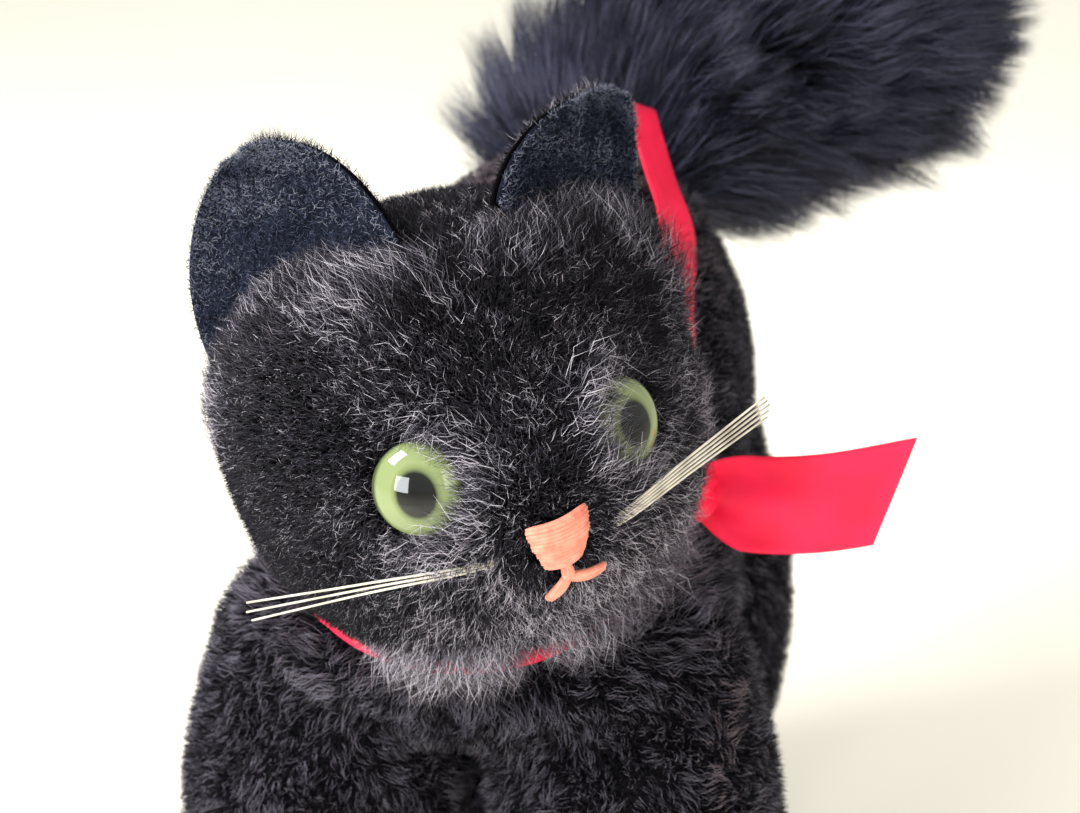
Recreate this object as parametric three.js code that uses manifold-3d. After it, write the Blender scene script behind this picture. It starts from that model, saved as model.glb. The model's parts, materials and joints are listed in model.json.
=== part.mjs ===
// A stuffed toy cat of black mohair that stands on four stiff legs with its back arched.
// The head is a stuffed ball that turns on a disc joint, the tail is a bushy plume on a wire, and a
// satin ribbon is tied round the neck. Millimetres, +Z up, the cat faces -Y, and its left side is +X.
// The cat is drawn with the middle of its body over the origin, and then moved so that the origin
// is on the ground under the middle of the overall box.
import * as THREE from "three";
import { mergeVertices } from "three/addons/utils/BufferGeometryUtils.js";
import Module from "manifold-3d";

const wasm = await Module();
wasm.setup();

// ---------- Driving dimensions ----------
const GAP = 0.3; // clearance between neighbouring pieces
const SLACK = 0.66; // clearance between the cloth and what fills it
const EPSILON = 1e-4; // points nearer than this are one point
const REACH = 160; // longer than the whole cat, for cutting blocks
const SKIN = 1.5; // thickness of the mohair cloth
const FELT = 1.2; // thickness of one ear layer

const HEAD_RADIUS = 26.5;
const HEAD_HEIGHT = 118; // of the head's centre above the ground
const HEAD_FORWARD = 39.7; // of the head's centre in front of the origin
const HEAD_CLEARANCE = 1.2; // left between the head's ball and the body below it
const NECK_DROP = 17; // from the head's centre to the flat where head and body meet
const NECK_LEAN = THREE.MathUtils.degToRad(18); // the joint's axis leans forward
const HEAD_TURN = THREE.MathUtils.degToRad(33); // the head looks to the cat's left

const NECK_RADIUS = 20.5;
const FRONT_SPREAD = 23.5; // of each front foot's centre from the middle
const REAR_SPREAD = 21; // of each rear foot's centre from the middle
const SOLE = 1.5; // thickness of a felt sole
const CARD = 0.8; // thickness of a card insole
const CARD_MARGIN = 1.8; // left round an insole inside the paw's cloth
const FRONT_FOOT = -46; // where the front feet's centres are along Y
const REAR_FOOT = 38;
const PAW_REACH = 4; // a paw's centre is this far in front of its leg's end
const PAW = [13, 16.5, 13]; // half sizes of a paw
const GUSSET_HALF_WIDTH = 21; // the belly gusset also covers the insides of the legs
const GUSSET_TOP = 80;

const HEAD_GUSSET_HALF_WIDTH = 8; // the strip from the nose over the crown to the neck
const HEAD_GUSSET_FLOOR = -1.5;

const DISC_RADIUS = 13;
const DISC_THICKNESS = 2;
const WASHER_RADIUS = 5;
const WASHER_THICKNESS = 0.6;
const PIN_RADIUS = 1;
const PIN_END_RADIUS = 2.6; // of the pin's bent-over ends

const LEG_WIRE_RADIUS = 0.9;
const TAIL_WIRE_RADIUS = 0.8;
const TAIL_CORE_RADIUS = 4.5; // of the stuffed core inside the plume
const TAIL_ROOT = [0, 57, 113];
const TAIL_ROOM = 9.5; // radius of the hollow the tail's root turns in

const MUZZLE_BULGE = 4.5; // how far the muzzle stands out of the head's ball

const EYE_RADIUS = 5;
const EYE_DOME = 3.4; // height of the glass dome above its flat back
const EYE_RIM = 0.9; // height of the straight edge below the dome
const EYE_BACK = 25.4; // of the eye's flat back from the head's centre
const EYE_PLACE = [12, -25.4, 5.8];
const EYE_WIRE_RADIUS = 0.4;

const RIBBON_WIDTH = 12;
const RIBBON_THICKNESS = 0.5;
const WHISKER_RADIUS = 0.22;
const WHISKER_SPACING = 0.62; // between bristles where they leave the muzzle
const THREAD_RADIUS = 0.75;

// ---------- Plain helpers ----------
const point = (xyz) => new THREE.Vector3(...xyz);

// Turns a closed geometry into a solid that can be joined and cut.
function solid(geometry) {
  const bare = geometry.clone();
  for (const name of ["normal", "uv"]) {
    bare.deleteAttribute(name);
  }
  const merged = mergeVertices(bare, EPSILON);
  return new wasm.Manifold(
    new wasm.Mesh({
      numProp: 3,
      vertProperties: new Float32Array(merged.attributes.position.array),
      triVerts: new Uint32Array(merged.index.array),
    }),
  );
}

function geometryOf(made) {
  const { vertProperties, triVerts } = made.getMesh();
  const geometry = new THREE.BufferGeometry();
  geometry.setAttribute("position", new THREE.BufferAttribute(vertProperties, 3));
  geometry.setIndex(new THREE.BufferAttribute(triVerts, 1));
  geometry.computeVertexNormals();
  return geometry;
}

const joined = (solids) => solids.reduce((all, next) => all.add(next));
const without = (made, cutters) => cutters.reduce((left, cutter) => left.subtract(cutter), made);

// A box between two corners.
function block(low, high) {
  const size = high.map((value, axis) => value - low[axis]);
  const centre = high.map((value, axis) => (value + low[axis]) / 2);
  return solid(new THREE.BoxGeometry(...size).translate(...centre));
}

function ball(half, centre, around = 24, down = 16) {
  return solid(new THREE.SphereGeometry(1, around, down).scale(...half).translate(...centre));
}

// A round bar that starts at a point and runs along a direction.
function bar(radius, length, start, direction, sides = 24) {
  const along = point(direction).normalize();
  const turn = new THREE.Quaternion().setFromUnitVectors(new THREE.Vector3(0, 1, 0), along);
  return new THREE.CylinderGeometry(radius, radius, length, sides)
    .translate(0, length / 2, 0)
    .applyQuaternion(turn)
    .translate(...start);
}

// A rod of even thickness that follows a smooth line through some points.
function rod(points, radius, steps = 12, sides = 8) {
  const section = new THREE.Shape().absarc(0, 0, radius, 0, 2 * Math.PI);
  const line = new THREE.CatmullRomCurve3(points.map(point));
  return new THREE.ExtrudeGeometry(section, {
    steps,
    curveSegments: sides,
    extrudePath: line,
  });
}

// A stuffed form: oval sections of changing size along a smooth line, its width kept level.
// Each station is [centre, half width, half depth]; inset draws the whole surface inwards.
function loft(stations, inset = 0, around = 24, along = 14) {
  const spine = new THREE.CatmullRomCurve3(stations.map(([centre]) => point(centre)));
  const sizes = new THREE.CatmullRomCurve3(stations.map(([, wide, deep]) => point([wide, deep, 0])));
  const shrink = inset / spine.getLength();
  const geometry = new THREE.CylinderGeometry(1, 1, 1, around, along);
  const places = geometry.attributes.position;
  for (let i = 0; i < places.count; i += 1) {
    const station = 0.5 - places.getY(i);
    const t = THREE.MathUtils.lerp(shrink, 1 - shrink, station);
    const centre = spine.getPoint(t);
    const size = sizes.getPoint(station);
    const forward = spine.getTangent(t);
    const side = new THREE.Vector3(1, 0, 0).addScaledVector(forward, -forward.x).normalize();
    const up = new THREE.Vector3().crossVectors(forward, side);
    centre.addScaledVector(side, places.getX(i) * Math.max(size.x - inset, 0.5));
    centre.addScaledVector(up, places.getZ(i) * Math.max(size.y - inset, 0.5));
    places.setXYZ(i, centre.x, centre.y, centre.z);
  }
  return solid(geometry);
}

// A bent sheet: a box grid whose points are placed by a rule (across -1..1, along 0..1, layer 0..1).
function sheet(rule, across, along) {
  const geometry = new THREE.BoxGeometry(2, 1, 1, across, along, 1);
  const places = geometry.attributes.position;
  for (let i = 0; i < places.count; i += 1) {
    const spot = rule(places.getX(i), places.getY(i) + 0.5, places.getZ(i) + 0.5);
    places.setXYZ(i, spot.x, spot.y, spot.z);
  }
  return solid(geometry);
}

// ---------- Materials ----------
const finish = (color, roughness, metalness = 0) => () =>
  new THREE.MeshStandardMaterial({ color, roughness, metalness });
const mohair = finish(0x1b1a20, 0.95);
const velvet = finish(0x101a1e, 0.9);
const stuffing = finish(0xb9a98a, 1);
const felt = finish(0x24222a, 0.95);
const card = finish(0x9a7b52, 0.9);
const board = finish(0x8a6238, 0.8);
const steel = finish(0x9a9a9a, 0.35, 0.9);
const glass = finish(0x9cb455, 0.08);
const thread = finish(0xe8935c, 0.6);
const satin = finish(0xe01f3d, 0.4);
const bristle = finish(0xe6ddc8, 0.4);

// ---------- The neck joint's frame ----------
const headCentre = point([0, -HEAD_FORWARD, HEAD_HEIGHT]);
const neckAxis = point([0, -Math.sin(NECK_LEAN), Math.cos(NECK_LEAN)]);
const neckPoint = headCentre.clone().addScaledVector(neckAxis, -NECK_DROP);
const upright = new THREE.Quaternion().setFromUnitVectors(new THREE.Vector3(0, 0, 1), neckAxis);

// A round piece on the neck's axis: from a height above the meeting flat, thickness upwards.
function onNeck(radius, height, thickness, sides = 16) {
  const start = neckPoint.clone().addScaledVector(neckAxis, height);
  return bar(radius, thickness, start.toArray(), neckAxis.toArray(), sides);
}

const cat = new THREE.Group();
const headGroup = new THREE.Group();
headGroup.position.copy(headCentre);
headGroup.quaternion.setFromAxisAngle(neckAxis, HEAD_TURN);
cat.add(headGroup);

function add(group, name, shape, material) {
  const geometry = shape.isBufferGeometry ? shape : geometryOf(shape);
  const mesh = new THREE.Mesh(geometry, material());
  mesh.name = name;
  group.add(mesh);
}

// ---------- Ribbon band ----------
// The band is folded lengthwise and lies round the neck, just under the head.
const BAND_DROP = 19.4; // of the band's lower edge from the head's centre, along the neck's axis
const BAND_WIDTH = 4.2;
const BAND_RADIUS = 22.5;

// A closed outline of [radius, height above the band's lower edge], turned round the neck's axis.
function aroundNeck(outline, around) {
  const start = headCentre.clone().addScaledVector(neckAxis, -BAND_DROP);
  const ring = new THREE.LatheGeometry(outline.map(([x, y]) => new THREE.Vector2(x, y)), around)
    .rotateX(Math.PI / 2)
    .applyQuaternion(upright)
    .translate(...start.toArray());
  return solid(ring);
}

function neckBand() {
  return aroundNeck(
    [
      [BAND_RADIUS, 0],
      [BAND_RADIUS + 0.9, BAND_WIDTH * 0.15],
      [BAND_RADIUS + 1.1, BAND_WIDTH * 0.6],
      [BAND_RADIUS + 0.7, BAND_WIDTH],
      [BAND_RADIUS + 0.1, BAND_WIDTH],
      [BAND_RADIUS - 0.1, BAND_WIDTH * 0.5],
      [BAND_RADIUS, 0],
    ],
    24,
  );
}

// ---------- Body ----------
// The stations below are [centre, half width, half depth], from one end of a form to the other.
const chest = [
  [neckPoint.toArray(), NECK_RADIUS, NECK_RADIUS],
  [[0, -34, 96.5], 24, 20.5],
  [[0, -33.5, 91], 30, 20],
  [[0, -33.5, 85], 34, 18],
  [[0, -34, 80], 31, 14.5],
  [[0, -34, 76], 22, 9],
];
const arch = [
  [[0, -40, 84], 14, 9],
  [[0, -30, 86], 29, 18],
  [[0, -15, 88], 31, 25],
  [[0, 0, 92], 30, 32],
  [[0, 16, 94], 29.5, 37],
  [[0, 32, 91], 29, 38],
  [[0, 45, 85], 27.5, 33],
  [[0, 54, 82], 22, 25],
  [[0, 59, 81], 11, 13],
];
const frontLeg = (side) => [
  [[side * 17, -33, 88], 14.5, 13],
  [[side * 20.5, -35, 66], 17.5, 15.5],
  [[side * 23, -38.5, 44], 15.8, 13.8],
  [[side * FRONT_SPREAD, -42.5, 22], 13.2, 12],
  [[side * FRONT_SPREAD, FRONT_FOOT, 0], 12, 11.5],
];
const rearLeg = (side) => [
  [[side * 15, 28, 92], 14, 19],
  [[side * 19.5, 28, 68], 17, 19],
  [[side * 22, 32, 46], 15.5, 15.5],
  [[side * REAR_SPREAD, 36, 24], 12.8, 12.5],
  [[side * REAR_SPREAD, REAR_FOOT, 0], 12, 11.5],
];
// Each foot's name, its centre's place across the cat, and its place along it.
const feet = [
  ["front_left", FRONT_SPREAD, FRONT_FOOT],
  ["front_right", -FRONT_SPREAD, FRONT_FOOT],
  ["rear_left", REAR_SPREAD, REAR_FOOT],
  ["rear_right", -REAR_SPREAD, REAR_FOOT],
];

// The groove round the neck in which the ribbon's band lies.
function bandGroove(inset) {
  const near = BAND_RADIUS - 0.2 - GAP - inset;
  const far = BAND_RADIUS + 1.8 + GAP + inset;
  const low = -GAP - inset;
  const high = BAND_WIDTH + 4;
  const rim = [[near, low], [far, low], [far, high], [near, high], [near, low]];
  return aroundNeck(rim, 16);
}

const cardTop = SOLE + GAP + CARD;
const pawCentre = ([, across, foot]) => [across, foot - PAW_REACH, 2];

// The whole body form at some depth below the cloth's outer face, cut flat at a height.
// The hidden forms inside the cloth have fewer facets than the outer one.
function bodyForm(inset, floor) {
  const hidden = inset > 0;
  const [round, legRound, legLong] = hidden ? [10, 8, 3] : [16, 10, 4];
  const [chestLong, archLong, pawDown] = hidden ? [4, 6, 4] : [5, 8, 6];
  const parts = [loft(chest, 0.4 + inset, round, chestLong), loft(arch, inset, round, archLong)];
  for (const side of [1, -1]) {
    parts.push(loft(frontLeg(side), inset, legRound, legLong));
    parts.push(loft(rearLeg(side), inset, legRound, legLong));
  }
  for (const foot of feet) {
    const half = PAW.map((size) => size - inset);
    parts.push(ball(half, pawCentre(foot), legRound, pawDown));
  }
  const headRoom = ball(
    [1, 1, 1].map(() => HEAD_RADIUS + HEAD_CLEARANCE + inset),
    headCentre.toArray(),
    16,
    10,
  );
  const cuts = [headRoom, bandGroove(inset), block([-REACH, -REACH, -REACH], [REACH, REACH, floor])];
  return without(joined(parts), cuts);
}

// Room for the tail's root, and for the joint's pin through the neck's cloth.
const tailRoomOf = (radius) => ball([radius, radius, radius], TAIL_ROOT, 12, 8);
const tailRoom = tailRoomOf(TAIL_ROOM);
const pinHole = solid(onNeck(PIN_RADIUS + 1, -30, 60, 10));

function bodyCloth() {
  const cloth = bodyForm(0, SOLE + GAP).subtract(bodyForm(SKIN, -1));
  return without(cloth, [tailRoom, pinHole]);
}

function gussetBlock(grow) {
  const half = GUSSET_HALF_WIDTH + grow;
  return block([-half, -REACH, -REACH], [half, REACH, GUSSET_TOP + grow]);
}

// Everything on one side of the middle seam.
function sideBlock(side) {
  const near = (side * GAP) / 2;
  const far = side * REACH;
  return block([Math.min(near, far), -REACH, -REACH], [Math.max(near, far), REACH, REACH]);
}

function bodyPanel(side) {
  return bodyCloth().intersect(sideBlock(side)).subtract(gussetBlock(GAP / 2));
}

// A leg wire runs up one leg, over inside the body and down the other; half of it is listed.
function legWire(half) {
  const mirrored = half.map(([x, y, z]) => [-x, y, z]).reverse();
  return [...half, ...mirrored];
}

const frontWire = legWire([
  [FRONT_SPREAD, FRONT_FOOT, 4],
  [22.8, -38.5, 44],
  [19.5, -34, 70],
  [8, -32, 84],
]);
const rearWire = legWire([
  [REAR_SPREAD, REAR_FOOT, 4],
  [21.6, 32, 46],
  [17.5, 28, 70],
  [8, 28, 84],
]);

// The channel a wire lies in, with both its ends carried down out of the stuffing.
function wireChannel(wire) {
  const ends = [wire[0], wire.at(-1)].map(([x, y, z]) => {
    return solid(bar(LEG_WIRE_RADIUS + GAP, z + 1, [x, y, -0.5], [0, 0, 1], 8));
  });
  return joined([solid(rod(wire, LEG_WIRE_RADIUS + GAP, 12, 3)), ...ends]);
}

function bodyStuffing() {
  const discRoom = solid(onNeck(DISC_RADIUS + GAP, -SKIN - 5.5, 12));
  const filling = bodyForm(SKIN + SLACK, cardTop + GAP);
  const cuts = [discRoom, wireChannel(frontWire), wireChannel(rearWire)];
  return without(filling, [...cuts, tailRoomOf(TAIL_ROOM + GAP)]);
}

function soleOf(foot, thickness, inset) {
  const [x, y] = pawCentre(foot);
  const lowRing = 0.98; // a paw is a little narrower at the ground than at its middle
  const half = PAW.map((size) => size * lowRing - inset);
  return new THREE.CylinderGeometry(1, 1, thickness, 16)
    .rotateX(Math.PI / 2)
    .scale(half[0], half[1], 1)
    .translate(x, y, thickness / 2);
}

add(cat, "body_panel_left", bodyPanel(1), mohair);
add(cat, "body_panel_right", bodyPanel(-1), mohair);
add(cat, "belly_gusset", bodyCloth().intersect(gussetBlock(-GAP / 2)), mohair);
add(cat, "body_stuffing", bodyStuffing(), stuffing);
add(cat, "front_leg_wire", rod(frontWire, LEG_WIRE_RADIUS, 12, 3), steel);
add(cat, "rear_leg_wire", rod(rearWire, LEG_WIRE_RADIUS, 12, 3), steel);
for (const foot of feet) {
  add(cat, `sole_${foot[0]}`, soleOf(foot, SOLE, 0.4), felt);
  const insole = soleOf(foot, CARD, SKIN + CARD_MARGIN).translate(0, 0, SOLE + GAP);
  add(cat, `insole_card_${foot[0]}`, insole, card);
}

// ---------- Neck joint ----------
const holed = (radius, height, thickness) =>
  solid(onNeck(radius, height, thickness)).subtract(pinHole);
const bodyDiscTop = -GAP - 0.4 - SKIN - GAP;
const bodyDiscLow = bodyDiscTop - DISC_THICKNESS;
add(cat, "neck_disc_body", holed(DISC_RADIUS, bodyDiscLow, DISC_THICKNESS), board);
const bodyWasherLow = bodyDiscLow - GAP - WASHER_THICKNESS;
add(cat, "neck_washer_body", holed(WASHER_RADIUS, bodyWasherLow, WASHER_THICKNESS), steel);

// ---------- Ribbon ----------
// The knot sits at the cat's left, a little to the rear, and its two ends stand out: one to the
// side and one up over the back.
const KNOT_TURN = 20; // degrees, about the vertical
const KNOT_HALF = [3.8, 4.6, 4];
const KNOT = [25, -25.8, 104.9];

// A free end of the ribbon: its middle line, the direction of its width, and the slant of its cut.
function ribbonEnd(points, widthways, slant) {
  const line = new THREE.CatmullRomCurve3(points.map(point));
  const wide = new THREE.CatmullRomCurve3(widthways.map(point));
  const rule = (across, along, layer) => {
    const spread = THREE.MathUtils.smoothstep(along, -0.25, 0.35);
    const t = along * (1 + (slant * across) / 2 - Math.abs(slant) / 2);
    const direction = wide.getPoint(t).normalize();
    const facing = new THREE.Vector3().crossVectors(line.getTangent(t), direction).normalize();
    return line
      .getPoint(t)
      .addScaledVector(direction, (across * RIBBON_WIDTH * spread) / 2)
      .addScaledVector(facing, (0.5 - layer) * RIBBON_THICKNESS);
  };
  return sheet(rule, 2, 9);
}

const sideEnd = ribbonEnd(
  [KNOT, [33, -26.5, 104], [42, -27.5, 105.5], [53, -26, 108]],
  [
    [-0.1, 0.4, 0.91],
    [-0.12, 0.35, 0.93],
    [-0.1, 0.4, 0.91],
    [-0.1, 0.4, 0.91],
  ],
  0.16,
);
const upperEnd = ribbonEnd(
  [KNOT, [25.5, -14, 112], [23.5, 0, 119], [21.5, 15, 124.5], [16, 21, 132], [11, 27, 141]],
  [
    [0.1, 0.75, -0.6],
    [0.25, 0.83, -0.42],
    [0.3, 0.82, -0.38],
    [0.3, 0.82, -0.38],
    [0.3, 0.82, -0.38],
    [0.3, 0.82, -0.38],
  ],
  0.02,
);
const knot = ball(KNOT_HALF, [0, 0, 0], 12, 8).rotate([0, 0, KNOT_TURN]).translate(KNOT);
add(cat, "neck_ribbon", joined([neckBand(), knot, sideEnd, upperEnd]), satin);

// ---------- Tail ----------
// The plume's volume is its mohair cloth with the long pile on it, round a thin stuffed core.
const tailLine = [
  TAIL_ROOT,
  [2.5, 62, 123],
  [11, 68, 132.5],
  [25, 72, 140.5],
  [41, 74.5, 147],
  [56, 75.5, 151.5],
];
const plumeRadii = [6, 9.8, 17.5, 21, 20.5, 14.5];
const tailWay = point([2.5, 5, 10]).normalize();
const CORE_RUN = 4; // the core runs on this far behind the root, so that the cover is open there
const behindRoot = point(TAIL_ROOT).addScaledVector(tailWay, -CORE_RUN).toArray();

function tailCore(inset) {
  const round = [TAIL_CORE_RADIUS, TAIL_CORE_RADIUS];
  const stations = [behindRoot, ...tailLine].map((centre) => [centre, ...round]);
  return loft(stations, inset, 10, 9);
}

function tailCover() {
  const plume = loft(
    tailLine.map((centre, i) => [centre, plumeRadii[i], plumeRadii[i]]),
    0,
    14,
    9,
  );
  const tip = ball([14, 14, 14], [57, 75.5, 151.8], 12, 8);
  return plume.add(tip).subtract(tailCore(0));
}

const wireStart = point(TAIL_ROOT).addScaledVector(tailWay, 3).toArray();
const tailWire = [wireStart, ...tailLine.slice(1, -1), [52, 75.2, 150.2]];

function tailStuffing() {
  const channel = solid(rod([behindRoot, ...tailWire], TAIL_WIRE_RADIUS + GAP, 12, 3));
  const cut = 12; // length and radius of the bar that trims off all that is behind the root
  const start = point(TAIL_ROOT).addScaledVector(tailWay, -cut).toArray();
  const behind = solid(bar(cut, cut, start, tailWay.toArray(), 12));
  return without(tailCore(SLACK), [channel, behind]);
}

add(cat, "tail_cover", tailCover(), mohair);
add(cat, "tail_stuffing", tailStuffing(), stuffing);
add(cat, "tail_wire", rod(tailWire, TAIL_WIRE_RADIUS, 12, 3), steel);

// ---------- Head ----------
// All of the head is drawn about its own centre, looking straight ahead along -Y.
// It is a ball with a short muzzle and full cheeks, and its underside stays round about the axis.
function headForm(inset, around = 20, down = 14) {
  const bulges = [
    [point([0, -1, 0.02]), MUZZLE_BULGE, 0.42],
    [point([0.72, -0.55, -0.3]), 1.3, 0.45],
    [point([-0.72, -0.55, -0.3]), 1.3, 0.45],
    [point([0.82, 0.1, 0.56]), 2.8, 0.5],
    [point([-0.82, 0.1, 0.56]), 2.8, 0.5],
  ];
  const geometry = new THREE.SphereGeometry(1, around, down).rotateX(Math.PI / 2);
  const places = geometry.attributes.position;
  for (let i = 0; i < places.count; i += 1) {
    const way = new THREE.Vector3().fromBufferAttribute(places, i).normalize();
    let radius = HEAD_RADIUS - inset;
    for (const [centre, height, spread] of bulges) {
      radius += height * Math.exp(-((way.angleTo(centre) / spread) ** 2));
    }
    way.multiplyScalar(radius);
    places.setXYZ(i, way.x, way.y, way.z);
  }
  return solid(geometry);
}

// Everything below the neck's flat, drawn about the head's own centre.
function belowNeck(height) {
  const start = neckAxis.clone().multiplyScalar(-NECK_DROP + height - 40);
  return solid(bar(60, 40, start.toArray(), neckAxis.toArray(), 12));
}

// A round cutter on the neck's axis, drawn about the head's own centre.
function headAxisBar(radius, height, thickness) {
  const start = neckAxis.clone().multiplyScalar(-NECK_DROP + height);
  return bar(radius, thickness, start.toArray(), neckAxis.toArray(), 16);
}

const eyePlace = (side) => [side * EYE_PLACE[0], EYE_PLACE[1], EYE_PLACE[2]];
const eyeWay = (side) => point(eyePlace(side)).normalize();

function eyeSocket(side) {
  const way = eyeWay(side);
  const start = way.clone().multiplyScalar(EYE_BACK - GAP);
  return solid(bar(EYE_RADIUS + GAP, 12, start.toArray(), way.toArray(), 14));
}

// A glass dome with a flat back, turned to look out along its own direction.
function eye(side) {
  const outline = [[0, 0], [EYE_RADIUS - 0.4, 0], [EYE_RADIUS, 0.5], [EYE_RADIUS, EYE_RIM]];
  const steps = 4;
  for (let i = 1; i <= steps; i += 1) {
    const angle = (i / steps) * (Math.PI / 2);
    outline.push([EYE_RADIUS * Math.cos(angle), EYE_RIM + (EYE_DOME - EYE_RIM) * Math.sin(angle)]);
  }
  outline[outline.length - 1][0] = 0;
  const way = eyeWay(side);
  const turn = new THREE.Quaternion().setFromUnitVectors(new THREE.Vector3(0, 1, 0), way);
  return new THREE.LatheGeometry(outline.map(([x, y]) => new THREE.Vector2(x, y)), 14)
    .applyQuaternion(turn)
    .translate(...way.multiplyScalar(EYE_BACK).toArray());
}

// The eye's wire loop, bent in a U behind the glass.
function eyeWirePoints(side) {
  const way = eyeWay(side);
  const across = new THREE.Vector3().crossVectors(way, point([0, 0, 1])).normalize();
  const at = (depth, offset) =>
    way.clone().multiplyScalar(EYE_BACK - depth).addScaledVector(across, offset).toArray();
  return [at(0.5, 1.6), at(5, 1.7), at(8, 0.9), at(8, -0.9), at(5, -1.7), at(0.5, -1.6)];
}

function eyeWireRoom(side) {
  const way = eyeWay(side);
  const start = way.clone().multiplyScalar(EYE_BACK - 9.4);
  return solid(bar(2.8, 10, start.toArray(), way.toArray(), 12));
}

// ---------- Whiskers ----------
// Each side's bristles leave the muzzle in one tight bundle and fan out towards their tips.
const WHISKERS = {
  left: { root: [7.1, -28.3, -2.6], tip: [28, -23.5, 2], count: 5, fan: 0.6 },
  right: { root: [-7.1, -28.3, -2.6], tip: [-30.5, -15.5, -6], count: 3, fan: 1.1 },
};

function whiskerPoints({ root, tip, count, fan }, number) {
  const start = point(root);
  const end = point(tip);
  const run = end.clone().sub(start);
  const step = number - (count - 1) / 2;
  const rise = new THREE.Vector3(0, 0, 1);
  const inner = start.clone().addScaledVector(run, -0.13);
  const middle = start.clone().addScaledVector(run, 0.5);
  return [
    inner.addScaledVector(rise, step * WHISKER_SPACING),
    start.addScaledVector(rise, step * WHISKER_SPACING),
    middle.addScaledVector(rise, step * (WHISKER_SPACING + fan / 4)),
    end.addScaledVector(rise, step * fan).addScaledVector(run, -0.012 * Math.abs(step)),
  ].map((spot) => spot.toArray());
}

function whiskerRoom({ root, tip, count }) {
  const start = point(root);
  const run = point(tip).sub(start);
  const inner = start.clone().addScaledVector(run, -0.3);
  const radius = (WHISKER_SPACING * count) / 2 + 0.6;
  return solid(bar(radius, run.length() * 0.9, inner.toArray(), run.toArray(), 12));
}

// ---------- Ears ----------
// An ear is a wide, rounded flap of two layers, cupped forwards and sewn on in a slanting line.
// The two were cut and sewn by hand, and are not quite alike. Each has the two ends of its sewn
// line, the first nearer the crown, then its height above that line, its lean about it (backwards),
// the drift of its tip towards the crown, and the power that rounds its top.
const EARS = {
  left: {
    inner: [6.1, -5.9, 26.4],
    outer: [23.9, 1.2, 14.1],
    height: 18,
    lean: -0.57,
    drift: -8.6,
    rounding: 1.3,
  },
  right: {
    inner: [3.7, -8.9, 26],
    outer: [24.2, 4.9, 12.8],
    height: 18.2,
    lean: -0.72,
    drift: 1.4,
    rounding: 2.1,
  },
};
const EAR_CUP = 1.2;
const EAR_FOOT = 4; // an ear's cloth is drawn this far into the head and trimmed off there

function earLayer(word, side, front, back) {
  const { height, lean, drift, rounding } = EARS[word];
  const inner = point(EARS[word].inner);
  const outer = point(EARS[word].outer);
  const middle = inner.clone().add(outer).divideScalar(2);
  const chord = outer.clone().sub(inner);
  const halfChord = chord.length() / 2;
  chord.normalize();
  const upright = middle.clone().addScaledVector(chord, -middle.dot(chord)).normalize();
  const rise = upright.applyAxisAngle(chord, lean);
  const facing = new THREE.Vector3().crossVectors(chord, rise).normalize();
  const rule = (across, along, layer) => {
    const sideways = across * side;
    const above = THREE.MathUtils.lerp(-EAR_FOOT, height, Math.sin((along * Math.PI) / 2));
    const share = Math.max(above / height, 0);
    const breadth = halfChord * Math.sqrt(1 - (0.995 * share) ** rounding);
    const cup = EAR_CUP * sideways ** 2 - share;
    const spot = middle
      .clone()
      .addScaledVector(chord, sideways * breadth - drift * share ** 2)
      .addScaledVector(rise, above)
      .addScaledVector(facing, cup + THREE.MathUtils.lerp(back, front, layer));
    spot.x *= side;
    return spot;
  };
  return sheet(rule, 8, 6);
}

function ear(word, side, front, back) {
  return earLayer(word, side, front, back).subtract(headForm(-GAP));
}

// ---------- Nose and mouth ----------
const MUZZLE_CURVE = 14; // radius of the muzzle's rounding
const muzzleRadius = HEAD_RADIUS + MUZZLE_BULGE;
// The nose is wide at its top and narrow at its foot; low and high are above the head's centre.
const NOSE = { halfTop: 3.3, halfFoot: 1.3, low: -3.4, high: 1.7, depth: 1.3 };

// A spot on the muzzle's face, given sideways and above the head's centre, lifted off the cloth.
function onMuzzle(sideways, upwards, lift) {
  const curve = (sideways ** 2 + upwards ** 2) / (2 * MUZZLE_CURVE);
  return new THREE.Vector3(sideways, curve - muzzleRadius - lift, upwards);
}

function noseStitch() {
  const rule = (across, along, layer) => {
    const breadth = THREE.MathUtils.lerp(NOSE.halfFoot, NOSE.halfTop, Math.sin((along * Math.PI) / 2));
    const crown = 1 - 0.45 * across * across - 0.35 * (2 * along - 1) ** 2;
    const lift = GAP + 0.1 + NOSE.depth * Math.max(crown, 0.25) * layer;
    return onMuzzle(across * breadth, THREE.MathUtils.lerp(NOSE.low, NOSE.high, along), lift);
  };
  return sheet(rule, 6, 4);
}

function mouthStitch() {
  const lift = GAP + THREAD_RADIUS + 0.25;
  const at = (sideways, upwards) => onMuzzle(sideways, upwards, lift).toArray();
  const foot = [at(0, -3.8), at(0.1, -4.6), at(0.2, -5.6)];
  const leftArm = [at(0.2, -5.5), at(2.2, -6), at(4.4, -6.4)];
  const rightArm = [at(0.2, -5.5), at(-0.9, -6.7), at(-1.8, -8)];
  return joined([foot, leftArm, rightArm].map((line) => solid(rod(line, THREAD_RADIUS, 3, 4))));
}

// ---------- The head's cloth and filling ----------
function headCuts() {
  const cuts = [solid(headAxisBar(PIN_RADIUS + 1, -5, 20))];
  for (const side of [1, -1]) {
    cuts.push(eyeSocket(side));
  }
  for (const bundle of Object.values(WHISKERS)) {
    cuts.push(whiskerRoom(bundle));
  }
  return cuts;
}

function headCloth() {
  const outer = headForm(0).subtract(belowNeck(0));
  const inner = headForm(SKIN).subtract(belowNeck(SKIN));
  return without(outer.subtract(inner), headCuts());
}

function headGussetBlock(grow) {
  const half = HEAD_GUSSET_HALF_WIDTH + grow;
  return block([-half, -REACH, HEAD_GUSSET_FLOOR - grow], [half, REACH, REACH]);
}

function headPanel(side) {
  return headCloth().intersect(sideBlock(side)).subtract(headGussetBlock(GAP / 2));
}

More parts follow.
